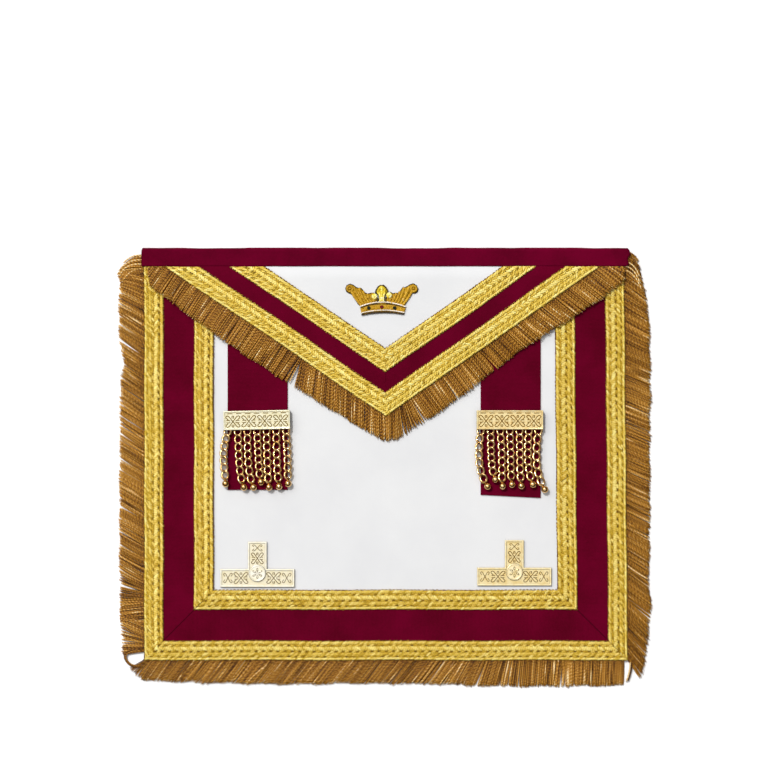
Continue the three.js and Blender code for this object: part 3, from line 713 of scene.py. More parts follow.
def foldWaistband():
    half = waistband["top"] / 2
    radius = half - waistband["fold"]
    straight = waistband["height"] - half
    foldLength = math.pi * radius
    length = 2 * straight + foldLength
    width = waistband["right"] - waistband["left"]
    bpy.ops.object.select_all(action="DESELECT")
    bpy.ops.mesh.primitive_grid_add(
        x_subdivisions=waistband["columns"], y_subdivisions=waistband["rows"], size=1
    )
    piece = bpy.context.object
    points = pointsOf(piece)
    x = width * points[:, 0]
    way = (points[:, 1] + 0.5) * length
    front = np.clip((way - straight) / foldLength, 0, 1)
    turn = front * math.pi
    y = np.where(way < straight, way - waistband["height"], 0.0)
    y = np.where(way >= straight, -half + radius * np.sin(turn), y)
    y = np.where(way > straight + foldLength, -half - (way - straight - foldLength), y)
    z = half - radius * np.cos(turn)
    wander = sum(depth * np.sin(x / long + shift) for depth, long, shift in waistband["waves"])
    y = y - waistband["pull"] * np.clip(wander + 0.2, 0, 1) * np.sin(turn)
    z = z + waistband["ripple"] * front * (np.sin(x / 9.0) * np.cos(y / 5.0) - 1)
    corner = waistband["corner"]
    depth = np.clip(corner + y, 0, corner)
    inset = corner - np.sqrt(np.maximum(corner ** 2 - depth ** 2, 0))
    x = x * (width / 2 - inset) / (width / 2) + (waistband["left"] + waistband["right"]) / 2
    short = np.interp(-y, *np.array(waistbandEnd).T)
    x = x - short * np.clip(1 + (x - waistband["right"]) / waistband["wornLength"], 0, 1)
    layFlat(piece, np.column_stack([x, way]))
    movePoints(piece, toFrame(np.column_stack([x, y, z])))
    faceOut(piece)
    apply(piece, "SOLIDIFY", thickness=waistband["cloth"] * mm, offset=0.0)
    bpy.ops.object.shade_smooth()
    settle(piece, "waistbandTape", finishes["band"], ["waistband"])


foldWaistband()
print("waistband folded")


# Braid: beads of gold thread on a woven tape

braid = {
    "period": 6.1,
    "tape": {"thickness": 0.5, "step": 5.0, "inset": 2.2, "tone": 0.3},
    "threads": 3,  # slanted threads of a plait in one period
    # the four plaits: across, thickness and length of a thread, slant, tone
    "plaits": [
        (1.2, 1.9, 4.3, 26, 0.62), (5.0, 1.9, 5.2, 40, 0.52),
        (9.8, 2.0, 5.6, -42, 0.66), (14.6, 1.9, 4.9, 34, 0.56),
    ],
    "plait": {"height": 0.6, "depth": 0.8},
    # the gaps between them, where dark dashes of painted shade in the holes take turns with gold
    # stitches: across, and shift in periods
    "gaps": [(2.9, 0.0), (7.3, 0.5), (12.2, 0.0)],
    "dash": {"height": 0.74, "turn": 8, "length": 2.4, "thick": 1.25, "depth": 0.7},
    "bridge": {
        "height": 0.66, "turn": 24, "length": 4.2, "thick": 2.0, "depth": 0.85, "tone": 0.52,
    },
    # how dark the painted shade of each gap's dashes is on each side of the apron, and on the flap
    "gapTones": {
        "left": (0.42, 0.3, 0.06), "bottom": (0.2, 0.03, 0.22), "right": (0.26, 0.05, 0.3),
        "flap": (0.36, 0.26, 0.3),
    },
    # a dark row along both edges, a painted shadow where the braid meets what is under it, and how
    # far out it lies
    "edge": {"height": 0.25, "turn": 0, "length": 2.4, "thick": 0.8, "depth": 0.5, "tone": 0.0},
    "shadowRowOut": 0.15,
    # loose threads: on which braid, along, across, turn and length
    "snags": {"innerBraid.right": (153.0, 9.4, -52, 10.0)},
    "snag": {"height": 1.15, "thick": 0.6, "depth": 0.5, "tone": 0.0},
    "jitter": (0.14, 0.1, 5, 0.1),  # of each thread: along, across, turn, tone
    "wander": (0.22, 19.0, 15.0),  # of the whole braid: depth, and lengths across and down
}


def beadShape(segments, rings):
    bpy.ops.object.select_all(action="DESELECT")
    bpy.ops.mesh.primitive_uv_sphere_add(segments=segments, ring_count=rings, radius=0.5)
    bead = bpy.context.object
    edit(bead)
    bpy.ops.transform.rotate(value=math.pi / 2, orient_axis="Y", center_override=(0, 0, 0))
    endEdit()
    return takeShape(bead)


bead = beadShape(5, 4)


def placedBeads(shape, places):
    # places: columns of along, across, height, turn, length, width, depth, tone
    columns = places.T[..., None]
    along, across, height, turn, length, width, depth, tone = columns
    x, y, z = shape["points"].T
    x, y, z = x * length, y * width, z * depth
    cos, sin = np.cos(turn), np.sin(turn)
    placed = np.stack([along + x * cos - y * sin, across + x * sin + y * cos, height + z], axis=2)
    flat = np.stack([x + along, y + across], axis=2)
    return placed, flat, tone


def braidPlaces(name, start, end, width, gapTones):
    # one braid, laid straight: four plaits, gold stitches and dashes of painted shade in the gaps
    # between them, and a painted shadow row along each edge
    period, jitters = braid["period"], braid["jitter"]
    steps = np.arange(math.floor(start / period) - 1, math.ceil(end / period) + 2)
    halfSteps = np.arange(2 * steps[0], 2 * steps[-1]) / 2
    threads = braid["threads"]
    threadSteps = np.arange(threads * steps[0], threads * steps[-1]) / threads
    rows = []

    def add(along, across, height, turn, length, thick, depth, tone):
        jitter = chance.normal(0, 1, (len(along), 4)) * jitters
        columns = [
            along + jitter[:, 0], across + jitter[:, 1], height, np.radians(turn + jitter[:, 2]),
            length, thick, depth, np.clip(tone + jitter[:, 3], 0, 1),
        ]
        rows.append(np.column_stack([np.broadcast_to(column, len(along)) for column in columns]))

    for across, thick, length, slant, tone in braid["plaits"]:
        thread = {"turn": slant, "length": length, "thick": thick, "tone": tone}
        add(threadSteps * period, across, **braid["plait"], **thread)
    # the dashes are dark beads of painted shade in the lace's holes
    for (across, shift), tone in zip(braid["gaps"], gapTones):
        add((steps + shift) * period, across, **braid["dash"], tone=tone)
        add((steps + shift + 0.5) * period, across, **braid["bridge"])
    # a painted shadow row just outside each edge
    for across in (-braid["shadowRowOut"], width + braid["shadowRowOut"]):
        add(halfSteps * period, across, **braid["edge"])
    if name in braid["snags"]:
        along, across, turn, length = braid["snags"][name]
        add(np.array([along]), across, turn=turn, length=length, **braid["snag"])
    return np.concatenate(rows)


def tapeShape():
    # a short length of the tape, copied end to end
    bpy.ops.object.select_all(action="DESELECT")
    bpy.ops.mesh.primitive_cube_add(size=1)
    return takeShape(bpy.context.object)


tape = tapeShape()


def layBraid(name, node, plan, side, inset, top, finish, gapTones):
    width = layers["braidWidth"]
    outline = stripOutline(plan["corners"], side, inset, inset + width, top, "braid")
    run = unit(np.subtract(plan["corners"][side + 1], plan["corners"][side]))
    inward = np.array([-run[1], run[0]])
    origin = np.array(plan["corners"][side]) + inset * inward
    spread = (outline - origin) @ run
    start, end = spread.min(), spread.max()
    beads, *beadLooks = placedBeads(bead, braidPlaces(name, start, end, width, gapTones))
    thickness, step, narrow, tone = braid["tape"].values()
    tapes, *tapeLooks = placedBeads(tape, np.array([
        [along, width / 2, thickness / 2, 0, step, width - narrow, thickness, tone]
        for along in np.arange(start - step, end + 2 * step, step)
    ]))

    def toPlan(points):
        points = points.copy()
        points[..., :2] = origin + points[..., :1] * run + points[..., 1:2] * inward
        return points

    groups = [(bead, toPlan(beads), *beadLooks), (tape, toPlan(tapes), *tapeLooks)]
    piece = joinedCopies(name, groups)
    cutTo(piece, outline, True, [1, 3])
    points = pointsOf(piece)
    points[:, 2] += lieAt(plan["lie"], points[:, 1]) + layers["braidLift"]
    depth, acrossLength, downLength = braid["wander"]
    waves = np.sin(points[:, 0] / acrossLength + side)
    waves = waves + np.sin(points[:, 1] / downLength + 2 * side)
    points[:, :2] += depth * waves[:, None] * inward
    movePoints(piece, toFrame(points))
    settle(piece, name, finishes[finish], [node])


for part, node, plan, inner, innerTop, finish in [
    ("outerBraid", "outer_braid", body, 0.0, body["top"], "braid"),
    ("innerBraid", "inner_braid", body, body["inner"], body["slopeEnd"], "braid"),
    ("flapOuterBraid", "flap_outer_braid", flap, 0.0, flap["top"], "flapBraid"),
    ("flapInnerBraid", "flap_inner_braid", flap, flap["inner"], flap["top"], "flapBraid"),
]:
    for side, name in enumerate(plan["sides"]):
        tones = braid["gapTones"][name if plan is body else "flap"]
        layBraid(f"{part}.{name}", f"{node}_{name}", plan, side, inner, innerTop, finish, tones)
print("braid laid")


# Bullion fringe: twisted strands that reach out from under the braid

fringe = {
    "pitch": 1.0,
    "radius": 0.62,
    "sides": 5,
    "steps": 9,
    "root": 4.5,  # how far the strands start back under the braid
    "heights": [0.8, 1.8],  # of the two layers
    "range": (0.02, 2.7),  # the lowest and highest that a strand lies
    "strayHeight": 2.0,
    "under": 0.4,  # how much shorter the lower layer is
    "firstSlit": (3.0, 9.0),
    "slits": (6.0, 15.0),  # spacing of the small gaps between bunches
    # the widest of these small gaps
    "slitWidth": {"left": 1.7, "bottom": 0.9, "right": 1.0, "flap": 0.9},
    "bunch": 4.0,  # how far along the edge a gap pushes the strands aside
    "waistEdge": -16.0,
    "shortest": 2.5,
    "wave": (0.02, 5.0),  # of the tips: share of the reach, and length along the edge
    "sway": (0.8, 23.0),  # of the strands: bow, and length along the edge
    # of each strand: place, reach, lean, bend, radius, height, start of its twist, tone
    "jitter": (0.2, 0.55, 0.3, 0.5, 0.1, 0.12, 3.0, 0.09),
    "twist": (0.75, 1.35),
    "tip": (0.97, 0.55),  # from what share of its length a strand is thinner, and how thin
    "droop": (0.9, 0.35, 0.6),
}
# the strands' tones carry painted light: the lower layer darker under the upper one, sides and root
# darker as shade, and a painted highlight at the tips
strandTone = {
    "base": 0.57, "under": 0.12, "sides": 0.36, "root": 0.14, "rootShadeLength": 3.0,
    # share of the strands with a much paler stretch, and how much, the same for a darker one
    "pale": (0.08, 0.42), "dark": (0.14, 0.3), "stretch": 0.22,
    "beside": 0.3,  # how much paler beside a wide gap
    "wideGap": 0.8,
    # the painted highlight at the tips: from what share of the length, how strong, and the luck
    # that picks the strands
    "tip": (0.93, 0.26), "tipHighlightLuck": -0.04,
}
# millimetres along the edge, reach beyond the braid, lean as a share of the reach, and bow
fringeLie = {
    "left": [
        (-8, 15.5, 0.3, 12), (-3, 19, 0.2, 12), (3, 21.6, 0.05, 10), (10, 22, -0.15, 7),
        (20, 20.8, -0.35, 3), (31, 20.6, -0.5, 1), (49, 21.6, -0.62, 0), (70, 21, -0.68, 0),
        (84, 19.2, -0.66, 0), (93, 17, -0.65, 0), (103, 18.6, -0.65, 0), (112, 20.2, -0.65, 0),
        (200, 20.9, -0.6, 0), (270, 20.9, -0.55, 0), (282, 20.6, 0.1, 0), (297, 20.2, 0.12, 0),
        (303, 20.2, -0.4, 0), (312, 19.8, -0.45, 0), (318, 18.5, -0.1, 0), (325, 17.5, 0.15, 0),
    ],
    "bottom": [
        (0, 5.9, -1.86, 0), (5, 13.5, -0.75, 0), (12, 17.2, -0.68, 0), (30, 18.4, -0.75, 0),
        (130, 20.7, -0.8, 0), (190, 19.8, -0.8, 0), (250, 20.4, -0.75, 0),
        (268, 20.8, -0.62, 0), (289, 22, -0.4, 0), (305, 22.6, -0.24, 0), (320, 22.6, -0.08, 0),
        (354, 22.4, -0.05, 0), (404.5, 21.8, -0.03, 0),
    ],
    "right": [
        (0, 10.4, -1.63, 0), (6, 12.2, -1.4, 0), (13, 14.5, -1.2, 0), (22, 15.9, -1.1, 0),
        (30, 16.8, -1.05, 0), (39, 17.8, -1.0, 0), (46, 18.0, -0.9, 0), (53, 20.4, -0.76, 0),
        (60, 21.2, -0.76, 0), (67, 20.0, -0.75, 0), (71, 18.8, -0.75, 0), (82, 18.9, -0.65, 0),
        (130, 19.9, -0.5, 0), (200, 20.6, -0.42, 0), (230, 21.4, -0.42, 0),
        (285, 21.4, -0.55, 0), (304, 20.6, -0.65, -1), (318, 18.8, -0.75, -2),
        (328, 16.6, -0.75, -4), (335, 15, -0.7, -5), (340, 13.4, -0.55, -6),
        (344, 10.4, -0.45, -6),
    ],
}
flapFringeLie = {
    "left": [
        (-12, 11, 0, 0), (-8.3, 14.2, 0, 0), (-2, 21.2, 0, 0), (25, 22.4, 0, 0),
        (46, 23.4, 0, 0), (89, 24.5, 0, 0), (136, 23.6, 0.02, 0), (140, 23.2, 0.42, 0),
        (165, 22, 0.56, 0), (214, 19.6, 0.68, 0), (224, 17.2, 0.68, 0),
    ],
    "right": [
        (0, 17.2, -0.7, 0), (10.3, 21.3, -0.7, 0), (18, 22.5, -0.35, 0), (26, 23, 0, 0),
        (56, 23.3, 0, 0), (125, 19.8, 0.2, 0), (150, 21.5, 0.3, 0), (183, 23.1, 0.3, 0),
        (219, 23.2, 0.3, 0), (225, 20, 0.3, 0), (234, 11, 0.3, 0),
    ],
}
# the gaps that show plainly: distance along the edge, width at the tips
fringeSlits = {
    "left": [
        (32.0, 2.0), (76.0, 2.8), (129.0, 2.2), (154.0, 1.8), (174.5, 2.2), (214.0, 1.6),
        (246.0, 1.6), (318.0, 1.8),
    ],
    "bottom": [(268.0, 1.2), (289.0, 1.8), (305.0, 1.4), (352.4, 2.0), (355.6, 2.0), (378.0, 0.8)],
    "right": [(50.0, 1.6), (112.0, 1.0), (316.0, 1.0)],
    "flapLeft": [(138.0, 4.2), (211.0, 1.0)],
    "flapRight": [(10.0, 1.2), (58.0, 1.3), (76.0, 1.2), (96.0, 1.4)],
}
# loose strands: each curve's start in plan, the point it bends towards, its end, and its tone
fringeStrays = {
    "left": [
        (-203.0, -339.0, -221.5, -338.0, -218.6, -347.2, 0.3),
        (-203.0, -340.4, -220.0, -339.4, -217.4, -347.4, 0.5),
        (-219.0, -345.4, -216.6, -355.0, -203.6, -354.0, 0.26),
        (-217.8, -346.0, -215.2, -353.6, -205.0, -352.8, 0.5),
        (-204.0, -14.0, -219.0, -13.0, -223.0, -24.0, 0.9),
        (-203.5, -10.4, -216.0, -9.6, -222.4, -18.6, 0.86),
        (-203.5, -18.0, -214.0, -17.0, -221.0, -29.0, 0.8),
        (-204.0, -6.6, -213.0, -5.8, -219.6, -13.0, 0.9),
    ],
    "bottom": [
        (207.6, -350.0, 208.0, -356.0, 204.4, -366.2, 0.98),
        (208.8, -350.4, 209.2, -357.0, 205.8, -365.6, 0.06),
        (-99.0, -352.0, -110.0, -360.0, -116.0, -368.0, 0.8),
        (60.0, -352.0, 52.0, -361.0, 47.0, -368.5, 0.8),
    ],
    "right": [
        (203.0, -12.0, 211.0, -12.4, 215.6, -24.6, 0.98),
        (203.0, -16.0, 210.4, -15.6, 216.2, -30.0, 0.95),
        (204.0, -8.4, 211.6, -8.0, 214.4, -18.0, 0.3),
        (204.0, -19.6, 211.0, -20.0, 217.6, -36.0, 0.9),
        (205.0, -268.0, 214.0, -275.0, 222.6, -279.6, 0.95),
    ],
}


def strandShape():
    # a thin round cord from z = -0.5 to 0.5, closed at both ends
    bpy.ops.object.select_all(action="DESELECT")
    bpy.ops.mesh.primitive_circle_add(vertices=fringe["sides"], radius=1.0, fill_type="TRIFAN")
    strand = bpy.context.object
    movePoints(strand, pointsOf(strand) - [0, 0, 0.5])
    edit(strand)
    for step in range(fringe["steps"]):
        pullUp(1 / fringe["steps"])
    endEdit()
    faceOut(strand)
    return takeShape(strand)


strand = strandShape()


def strayGroup(strays, lie):
    # a loose strand along each curve
    strays = np.array(strays)
    start, middle, end = (strays[:, None, first:first + 2] for first in (0, 2, 4))
    t = (strand["points"][:, 2] + 0.5)[None, :, None]
    path = (1 - t) ** 2 * start + 2 * t * (1 - t) * middle + t * t * end
    ahead = 2 * (1 - t) * (middle - start) + 2 * t * (end - middle)
    ahead = ahead / np.linalg.norm(ahead, axis=2, keepdims=True)
    x, y = strand["points"][:, 0] * fringe["radius"], strand["points"][:, 1] * fringe["radius"]
    plan = path + x[None, :, None] * np.stack([-ahead[..., 1], ahead[..., 0]], axis=2)
    z = np.clip(fringe["strayHeight"] + y + lieAt(lie, plan[..., 1]), fringe["range"][0], None)
    placed = np.concatenate([plan, z[..., None]], axis=2)
    apart = x[None, :] + np.arange(len(strays))[:, None] * 7.0
    flat = np.stack(np.broadcast_arrays(t[..., 0] * 20.0, apart), axis=2)
    # painted shade along each stray's sides
    tone = np.clip(strays[:, 6:] - 0.25 * (x / fringe["radius"])[None, :] ** 2, 0, 1)
    return strand, placed, flat, tone


def fringeGaps(first, last, slits, widest):
    # the listed gaps, and small ones between the bunches
    places, widths = (list(column) for column in zip(*slits))
    place = first + chance.uniform(*fringe["firstSlit"])
    while place < last:
        places.append(place)
        widths.append(chance.uniform(0.1, widest))
        place += chance.uniform(*fringe["slits"])
    return np.array(places), np.array(widths)


def strandTones(t, outwards, rounding, beside, jitter, layer):
    # strands are painted darker along their sides and at the root, as shade, and some have a pale
    # or dark stretch
    # the lower layer is painted darker as shade under the upper one, and many tips get a painted
    # highlight
    luck, where = (chance.uniform(0, 1, (len(outwards), 1)) for draw in range(2))
    stretch = np.exp(-((t - where) / strandTone["stretch"]) ** 2)
    paleShare, pale = strandTone["pale"]
    darkShare, dark = strandTone["dark"]
    tone = strandTone["base"] + jitter[:, 7:] - strandTone["under"] * (layer == 0)
    tone = tone + stretch * (pale * (luck < paleShare) - dark * (luck > 1 - darkShare))
    tone = tone + strandTone["beside"] * np.clip(beside, 0, 1)[:, None] * t
    root = np.exp(-np.clip(outwards, 0, None) / strandTone["rootShadeLength"])
    tipFrom, tip = strandTone["tip"]
    tone = tone + tip * (t > tipFrom) * (jitter[:, 4:5] > strandTone["tipHighlightLuck"])
    return np.clip(tone - strandTone["sides"] * rounding - strandTone["root"] * root, 0, 1)


def fringeLayer(layer, start, run, outward, side, lie, table, slits, clipped):
    # the strands of one layer, in plan with their heights, their flat layout and their tones
    height, first, last = fringe["heights"][layer], table[0, 0], table[-1, 0]
    slitPlaces, slitWidths = slits
    along = np.arange(first + 0.3 + 0.5 * layer * fringe["pitch"], last, fringe["pitch"])
    jitter = chance.normal(0, 1, (len(along), 8)) * fringe["jitter"]
    along = along + jitter[:, 0]
    reach, lean, bow = (np.interp(along, table[:, 0], table[:, column]) for column in (1, 2, 3))
    begin = np.full(len(along), -fringe["root"])
    if clipped:
        # nothing shows above the waistband's lower edge
        drop = outward[1] + lean * run[1]
        begin = np.maximum(begin, (fringe["waistEdge"] - start[1] - along * run[1]) / drop)
    keep = reach - begin > fringe["shortest"]
    along, reach, lean, bow, begin, jitter = (
        item[keep] for item in (along, reach, lean, bow, begin, jitter)
    )
    gap = along[:, None] - slitPlaces
    push = (np.sign(gap) * slitWidths / 2 * np.exp(-np.abs(gap) / fringe["bunch"])).sum(axis=1)
    beside = (np.exp(-np.abs(gap)) * (slitWidths > strandTone["wideGap"])).sum(axis=1)
    waveShare, waveLength = fringe["wave"]
    reach = reach * (1 + waveShare * np.sin(along / waveLength))
    reach = reach + jitter[:, 1] - fringe["under"] * (layer == 0)
    sideways = lean * reach + push + jitter[:, 2]
    sway, swayLength = fringe["sway"]
    bend = bow + jitter[:, 3] + sway * np.sin(along / swayLength + side)
    x, y, t = strand["points"].T
    t = t[None, :] + 0.5
    outwards = begin[:, None] + (reach - begin)[:, None] * t
    leaning = np.clip(outwards / reach[:, None], 0, None)
    lateral = sideways[:, None] * leaning + bend[:, None] * (t * t - t)
    phase = chance.uniform(0, 2 * math.pi, len(along))[:, None]
    radius = (fringe["radius"] * (1 + jitter[:, 4]))[:, None]
    acrossX = radius * (x * np.cos(phase) - y * np.sin(phase))
    acrossZ = radius * (x * np.sin(phase) + y * np.cos(phase))
    tipFrom, thin = fringe["tip"]
    taper = np.where(t > tipFrom, thin, 1.0)
    plan = (start + along[:, None] * run)[:, None, :] + outwards[..., None] * outward
    plan = plan + (lateral + acrossX * taper)[..., None] * run
    level, droopFrom, droop = fringe["droop"]
    drop = (height - level) * np.clip(t - droopFrom, 0, 1) * droop
    z = height + jitter[:, 5:6] - drop + acrossZ * taper * 0.95
    z = np.clip(z, *fringe["range"]) + lieAt(lie, plan[..., 1])
    placed = np.concatenate([plan, z[..., None]], axis=2)
    pace = chance.uniform(*fringe["twist"], len(along))[:, None]
    lengthwise = outwards * pace + jitter[:, 6:7]
    flat = np.stack(np.broadcast_arrays(lengthwise, acrossX + along[:, None]), axis=2)
    tone = strandTones(t, outwards, (acrossX / radius) ** 2, beside, jitter, layer)
    return strand, placed, flat, tone


def layFringe(name, node, plan, side, lie, rows, slits, widest, strays=()):
    start, end = insetCorners(plan["corners"], 0.0, plan["top"])[side:side + 2]
    run = unit(end - start)
    outward = np.array([run[1], -run[0]])
    table = np.array(rows, float)
    gaps = fringeGaps(table[0, 0], table[-1, 0], slits, widest)
    groups = [
        fringeLayer(layer, start, run, outward, side, lie, table, gaps, plan is flap)
        for layer in range(len(fringe["heights"]))
    ]
    if strays:
        groups.append(strayGroup(strays, lie))
    piece = joinedCopies(name, groups)
    movePoints(piece, toFrame(pointsOf(piece)))
    settle(piece, name, finishes["fringe"], [node])


for side, name in enumerate(body["sides"]):
    tables = fringeLie[name], fringeSlits[name], fringe["slitWidth"][name], fringeStrays[name]
    layFringe(f"fringe.{name}", f"fringe_{name}", body, side, floorLie, *tables)
for side, name in enumerate(flap["sides"]):
    slits = fringeSlits[f"flap{name.capitalize()}"]
    tables = flapFringeLie[name], slits, fringe["slitWidth"]["flap"]
    layFringe(f"flapFringe.{name}", f"flap_fringe_{name}", flap, side, flap["lie"], *tables)
print("fringe laid")


# Tassels: cast bars with chains that end in balls

bar = {
    "length": 56.0, "height": 16.0, "thickness": 5.6, "rim": 1.2, "pocket": 0.9, "lift": 2.8,
    "bevel": 0.35,
    "scrolls": {"count": 4, "gap": 1.0, "height": 9.8, "below": 0.9, "wire": 0.46},
    "dashes": {"count": 7, "from": 5.4, "half": 2.3, "y": 13.7, "wire": 0.42},
    "sink": 0.05,  # how deep the lines of the ornament lie in the field
}
tassels = {
    "left": {"place": (-107.0, -153.4), "tilt": 0.022, "metal": "palemetal"},
    "right": {"place": (106.0, -153.3), "tilt": 0.0, "metal": "warmmetal"},
}
link = {
    "width": 7.5, "wire": 2.0, "count": 7, "first": 1.4, "overlap": 0.8,
    "twist": 34.0, "wobble": 5.0,
    "spacing": 8.1,  # from one chain to the next at the bar
    "height": 2.64,  # of the chains' tops over the bar's foot
    "swing": 4.5,  # how late a chain turns towards its ball
    "ball": 3.05,
    "ballSink": 0.4,
    "floor": 0.05,  # the links touch what they lie on and go no lower
}
smoothAngle = math.radians(14)  # castings keep their edges
# where each ball lies from the middle of the bar's lower edge, and the chain's sideways bow
chainRoutes = {
    "left": [
        (-27.4, 45.1, -4.2), (-12.1, 48.4, 0.4), (-4.0, 48.6, 0.0), (2.4, 44.3, 0.6),
        (9.1, 48.8, 0.0), (17.5, 48.4, 0.0), (25.2, 46.2, 0.8),
    ],
    "right": [
        (-18.6, 48.0, -1.8), (-12.2, 42.2, 0.4), (-6.0, 47.8, 1.4), (1.9, 46.5, 0.8),
        (9.7, 47.6, 0.5), (19.5, 46.5, -1.0), (29.4, 50.6, -2.0),
    ],
}


def turned(points, angle):
    cos, sin = math.cos(angle), math.sin(angle)
    out = np.array(points, float)
    out[..., 0] = points[..., 0] * cos - points[..., 1] * sin
    out[..., 1] = points[..., 0] * sin + points[..., 1] * cos
    return out


def linkShape():
    bpy.ops.object.select_all(action="DESELECT")
    bpy.ops.mesh.primitive_torus_add(
        major_radius=(link["width"] - link["wire"]) / 2, minor_radius=link["wire"] / 2,
        major_segments=18, minor_segments=8,
    )
    return takeShape(bpy.context.object)


def ballShape():
    bpy.ops.object.select_all(action="DESELECT")
    bpy.ops.mesh.primitive_uv_sphere_add(segments=24, ring_count=14, radius=link["ball"])
    return takeShape(bpy.context.object)


linkRing = linkShape()
ball = ballShape()


def chainRoute(side, index):
    # the chain's line from the bar to its ball, and how far along it each point lies
    ballX, ballDrop, bow = chainRoutes[side][index]
    fromMiddle = index - (len(chainRoutes[side]) - 1) / 2
    start = np.array([fromMiddle * link["spacing"], 0.0, link["height"]])
    end = np.array([ballX, -ballDrop, link["ball"]])
    shares = np.linspace(0, 1, 101)[:, None]
    route = start + (end - start) * np.hstack([shares ** link["swing"], shares, shares])
    route[:, 0] += bow * np.sin(math.pi * shares[:, 0])
    return route, waysOf(route), end


def waysOf(path):
    return np.concatenate([[0], np.cumsum(np.linalg.norm(np.diff(path, axis=0), axis=1))])


def layChain(side, index):
    route, ways, end = chainRoute(side, index)

    def at(way):
        return np.array([np.interp(way, ways, route[:, axis]) for axis in range(3)])

    # curb links: each lies flat and is twisted along its length, over and under the next
    lap = link["overlap"] * link["wire"]
    reach = ways[-1] - link["ball"] + link["ballSink"] - link["first"] - lap
    pitch = reach / (link["count"] - 0.5)
    linkLength = pitch + 2 * lap
    placed = []
    for step in range(link["count"]):
        x, y, z = linkRing["points"].T
        y = y * linkLength / link["width"]
        wobble = chance.uniform(-link["wobble"], link["wobble"])
        turn = np.radians(link["twist"] * 2 * y / linkLength + wobble)
        cos, sin = np.cos(turn), np.sin(turn)
        ring = np.stack([x * cos + z * sin, y, z * cos - x * sin])
        way = link["first"] + step * pitch
        ahead = unit(at(way + 0.5) - at(way - 0.5))
        sideways = unit(np.cross(ahead, [0, 0, 1]))
        placed.append(at(way) + ring.T @ [sideways, -ahead, np.cross(sideways, ahead)])
    links = np.array(placed)
    links[..., 2] = np.maximum(links[..., 2], link["floor"])
    tassel = tassels[side]
    name, groups = f"chain.{side}.{index + 1}", []
    for shape, points in ((linkRing, links), (ball, (ball["points"] + end)[None])):
        hung = turned(points, tassel["tilt"]) + [*tassel["place"], bar["lift"]]
        groups.append((shape, hung, hung[..., :2], np.full(len(hung), 0.5)))
    piece = joinedCopies(name, groups)
    movePoints(piece, toFrame(pointsOf(piece)))
    faceOut(piece)
    settle(piece, name, finishes["chain"], [f"chain_{side}_{index + 1}"])


for side in tassels:
    for index in range(len(chainRoutes[side])):
        layChain(side, index)


def join(pieces):
    bpy.ops.object.select_all(action="DESELECT")
    for piece in pieces:
        piece.select_set(True)
    bpy.context.view_layer.objects.active = pieces[0]
    bpy.ops.object.join()
    return bpy.context.object


def sinkTop(piece, top, rim, depth):
    # a raised rim round a sunk field
    editFaces(piece, lambda face: face.normal.z > 0.9 and face.center.z > top - 0.01)
    bpy.ops.mesh.inset(thickness=rim)
    pullUp(-depth)
    endEdit()


def setCasting(piece, name, place, finish, node):
    movePoints(piece, toFrame(pointsOf(piece) + place))
    pickOnly(piece)
    bpy.ops.object.shade_smooth_by_angle(angle=smoothAngle)
    settle(piece, name, finishes[finish], [node])


scrollSpan = np.array([11.2, 9.8])
leafPaths = [
    [(2.0, 0.5), (3.2, 1.3), (4.9, 0.9)],
    [(0.5, 2.6), (0.9, 3.7), (0.3, 4.9)],
]
scrollPath = [
    (-3.6, 1.6), (-4.6, 2.4), (-5.6, 3.6), (-4.6, 4.9), (-3.0, 4.4), (-1.6, 2.2), (0.0, 0.0),
    (1.6, -2.2), (3.0, -4.4), (4.6, -4.9), (5.6, -3.6), (4.6, -2.4), (3.6, -1.6),
]


def scrolls(x, y, width, height, z, radius, leafy=True):
    # a pair of crossing scrolls with leaves between them, as broad and high as given
    size = np.array([width, height]) / scrollSpan
    lines = [np.array(scrollPath), np.array(scrollPath) * [-1, 1]]
    if leafy:
        turns = [(-1, -1), (-1, 1), (1, -1), (1, 1)]
        lines += [np.array(leaf) * turn for leaf in leafPaths for turn in turns]
    return [scrollTube([(x + px, y + py, z) for px, py in line * size], radius) for line in lines]


def castBar(side):
    left = -bar["length"] / 2
    bpy.ops.object.select_all(action="DESELECT")
    bpy.ops.mesh.primitive_cube_add(size=1)
    plate = bpy.context.object
    points = pointsOf(plate) * [bar["length"], bar["height"], bar["thickness"]]
    movePoints(plate, points + [0, bar["height"] / 2, bar["thickness"] / 2])
    sinkTop(plate, bar["thickness"], bar["rim"], bar["pocket"])
    apply(plate, "BEVEL", width=bar["bevel"], segments=3, limit_method="ANGLE")
    z = bar["thickness"] - bar["pocket"] - bar["sink"]
    made = [plate]
    scroll = bar["scrolls"]
    room = (bar["length"] - 2 * bar["rim"]) / scroll["count"]
    y = bar["height"] / 2 - scroll["below"]
    for index in range(scroll["count"]):
        x = left + bar["rim"] + (index + 0.5) * room
        made += scrolls(x, y, room - scroll["gap"], scroll["height"], z, scroll["wire"])
    dash = bar["dashes"]
    for x in np.linspace(left + dash["from"], -left - dash["from"], dash["count"]):
        bow = ((-dash["half"], 0), (0, 0.1), (dash["half"], 0))
        path = [(x + along, dash["y"] + up, z) for along, up in bow]
        made.append(scrollTube(path, dash["wire"]))
    piece = join(made)
    tassel = tassels[side]
    movePoints(piece, turned(pointsOf(piece), tassel["tilt"]))
    place, metal = np.array([*tassel["place"], bar["lift"]]), tassel["metal"]
    setCasting(piece, f"tasselBar.{side}", place, metal, f"tassel_bar_{side}")


for side in tassels:
    castBar(side)
print("tassels hung")


# Level plates

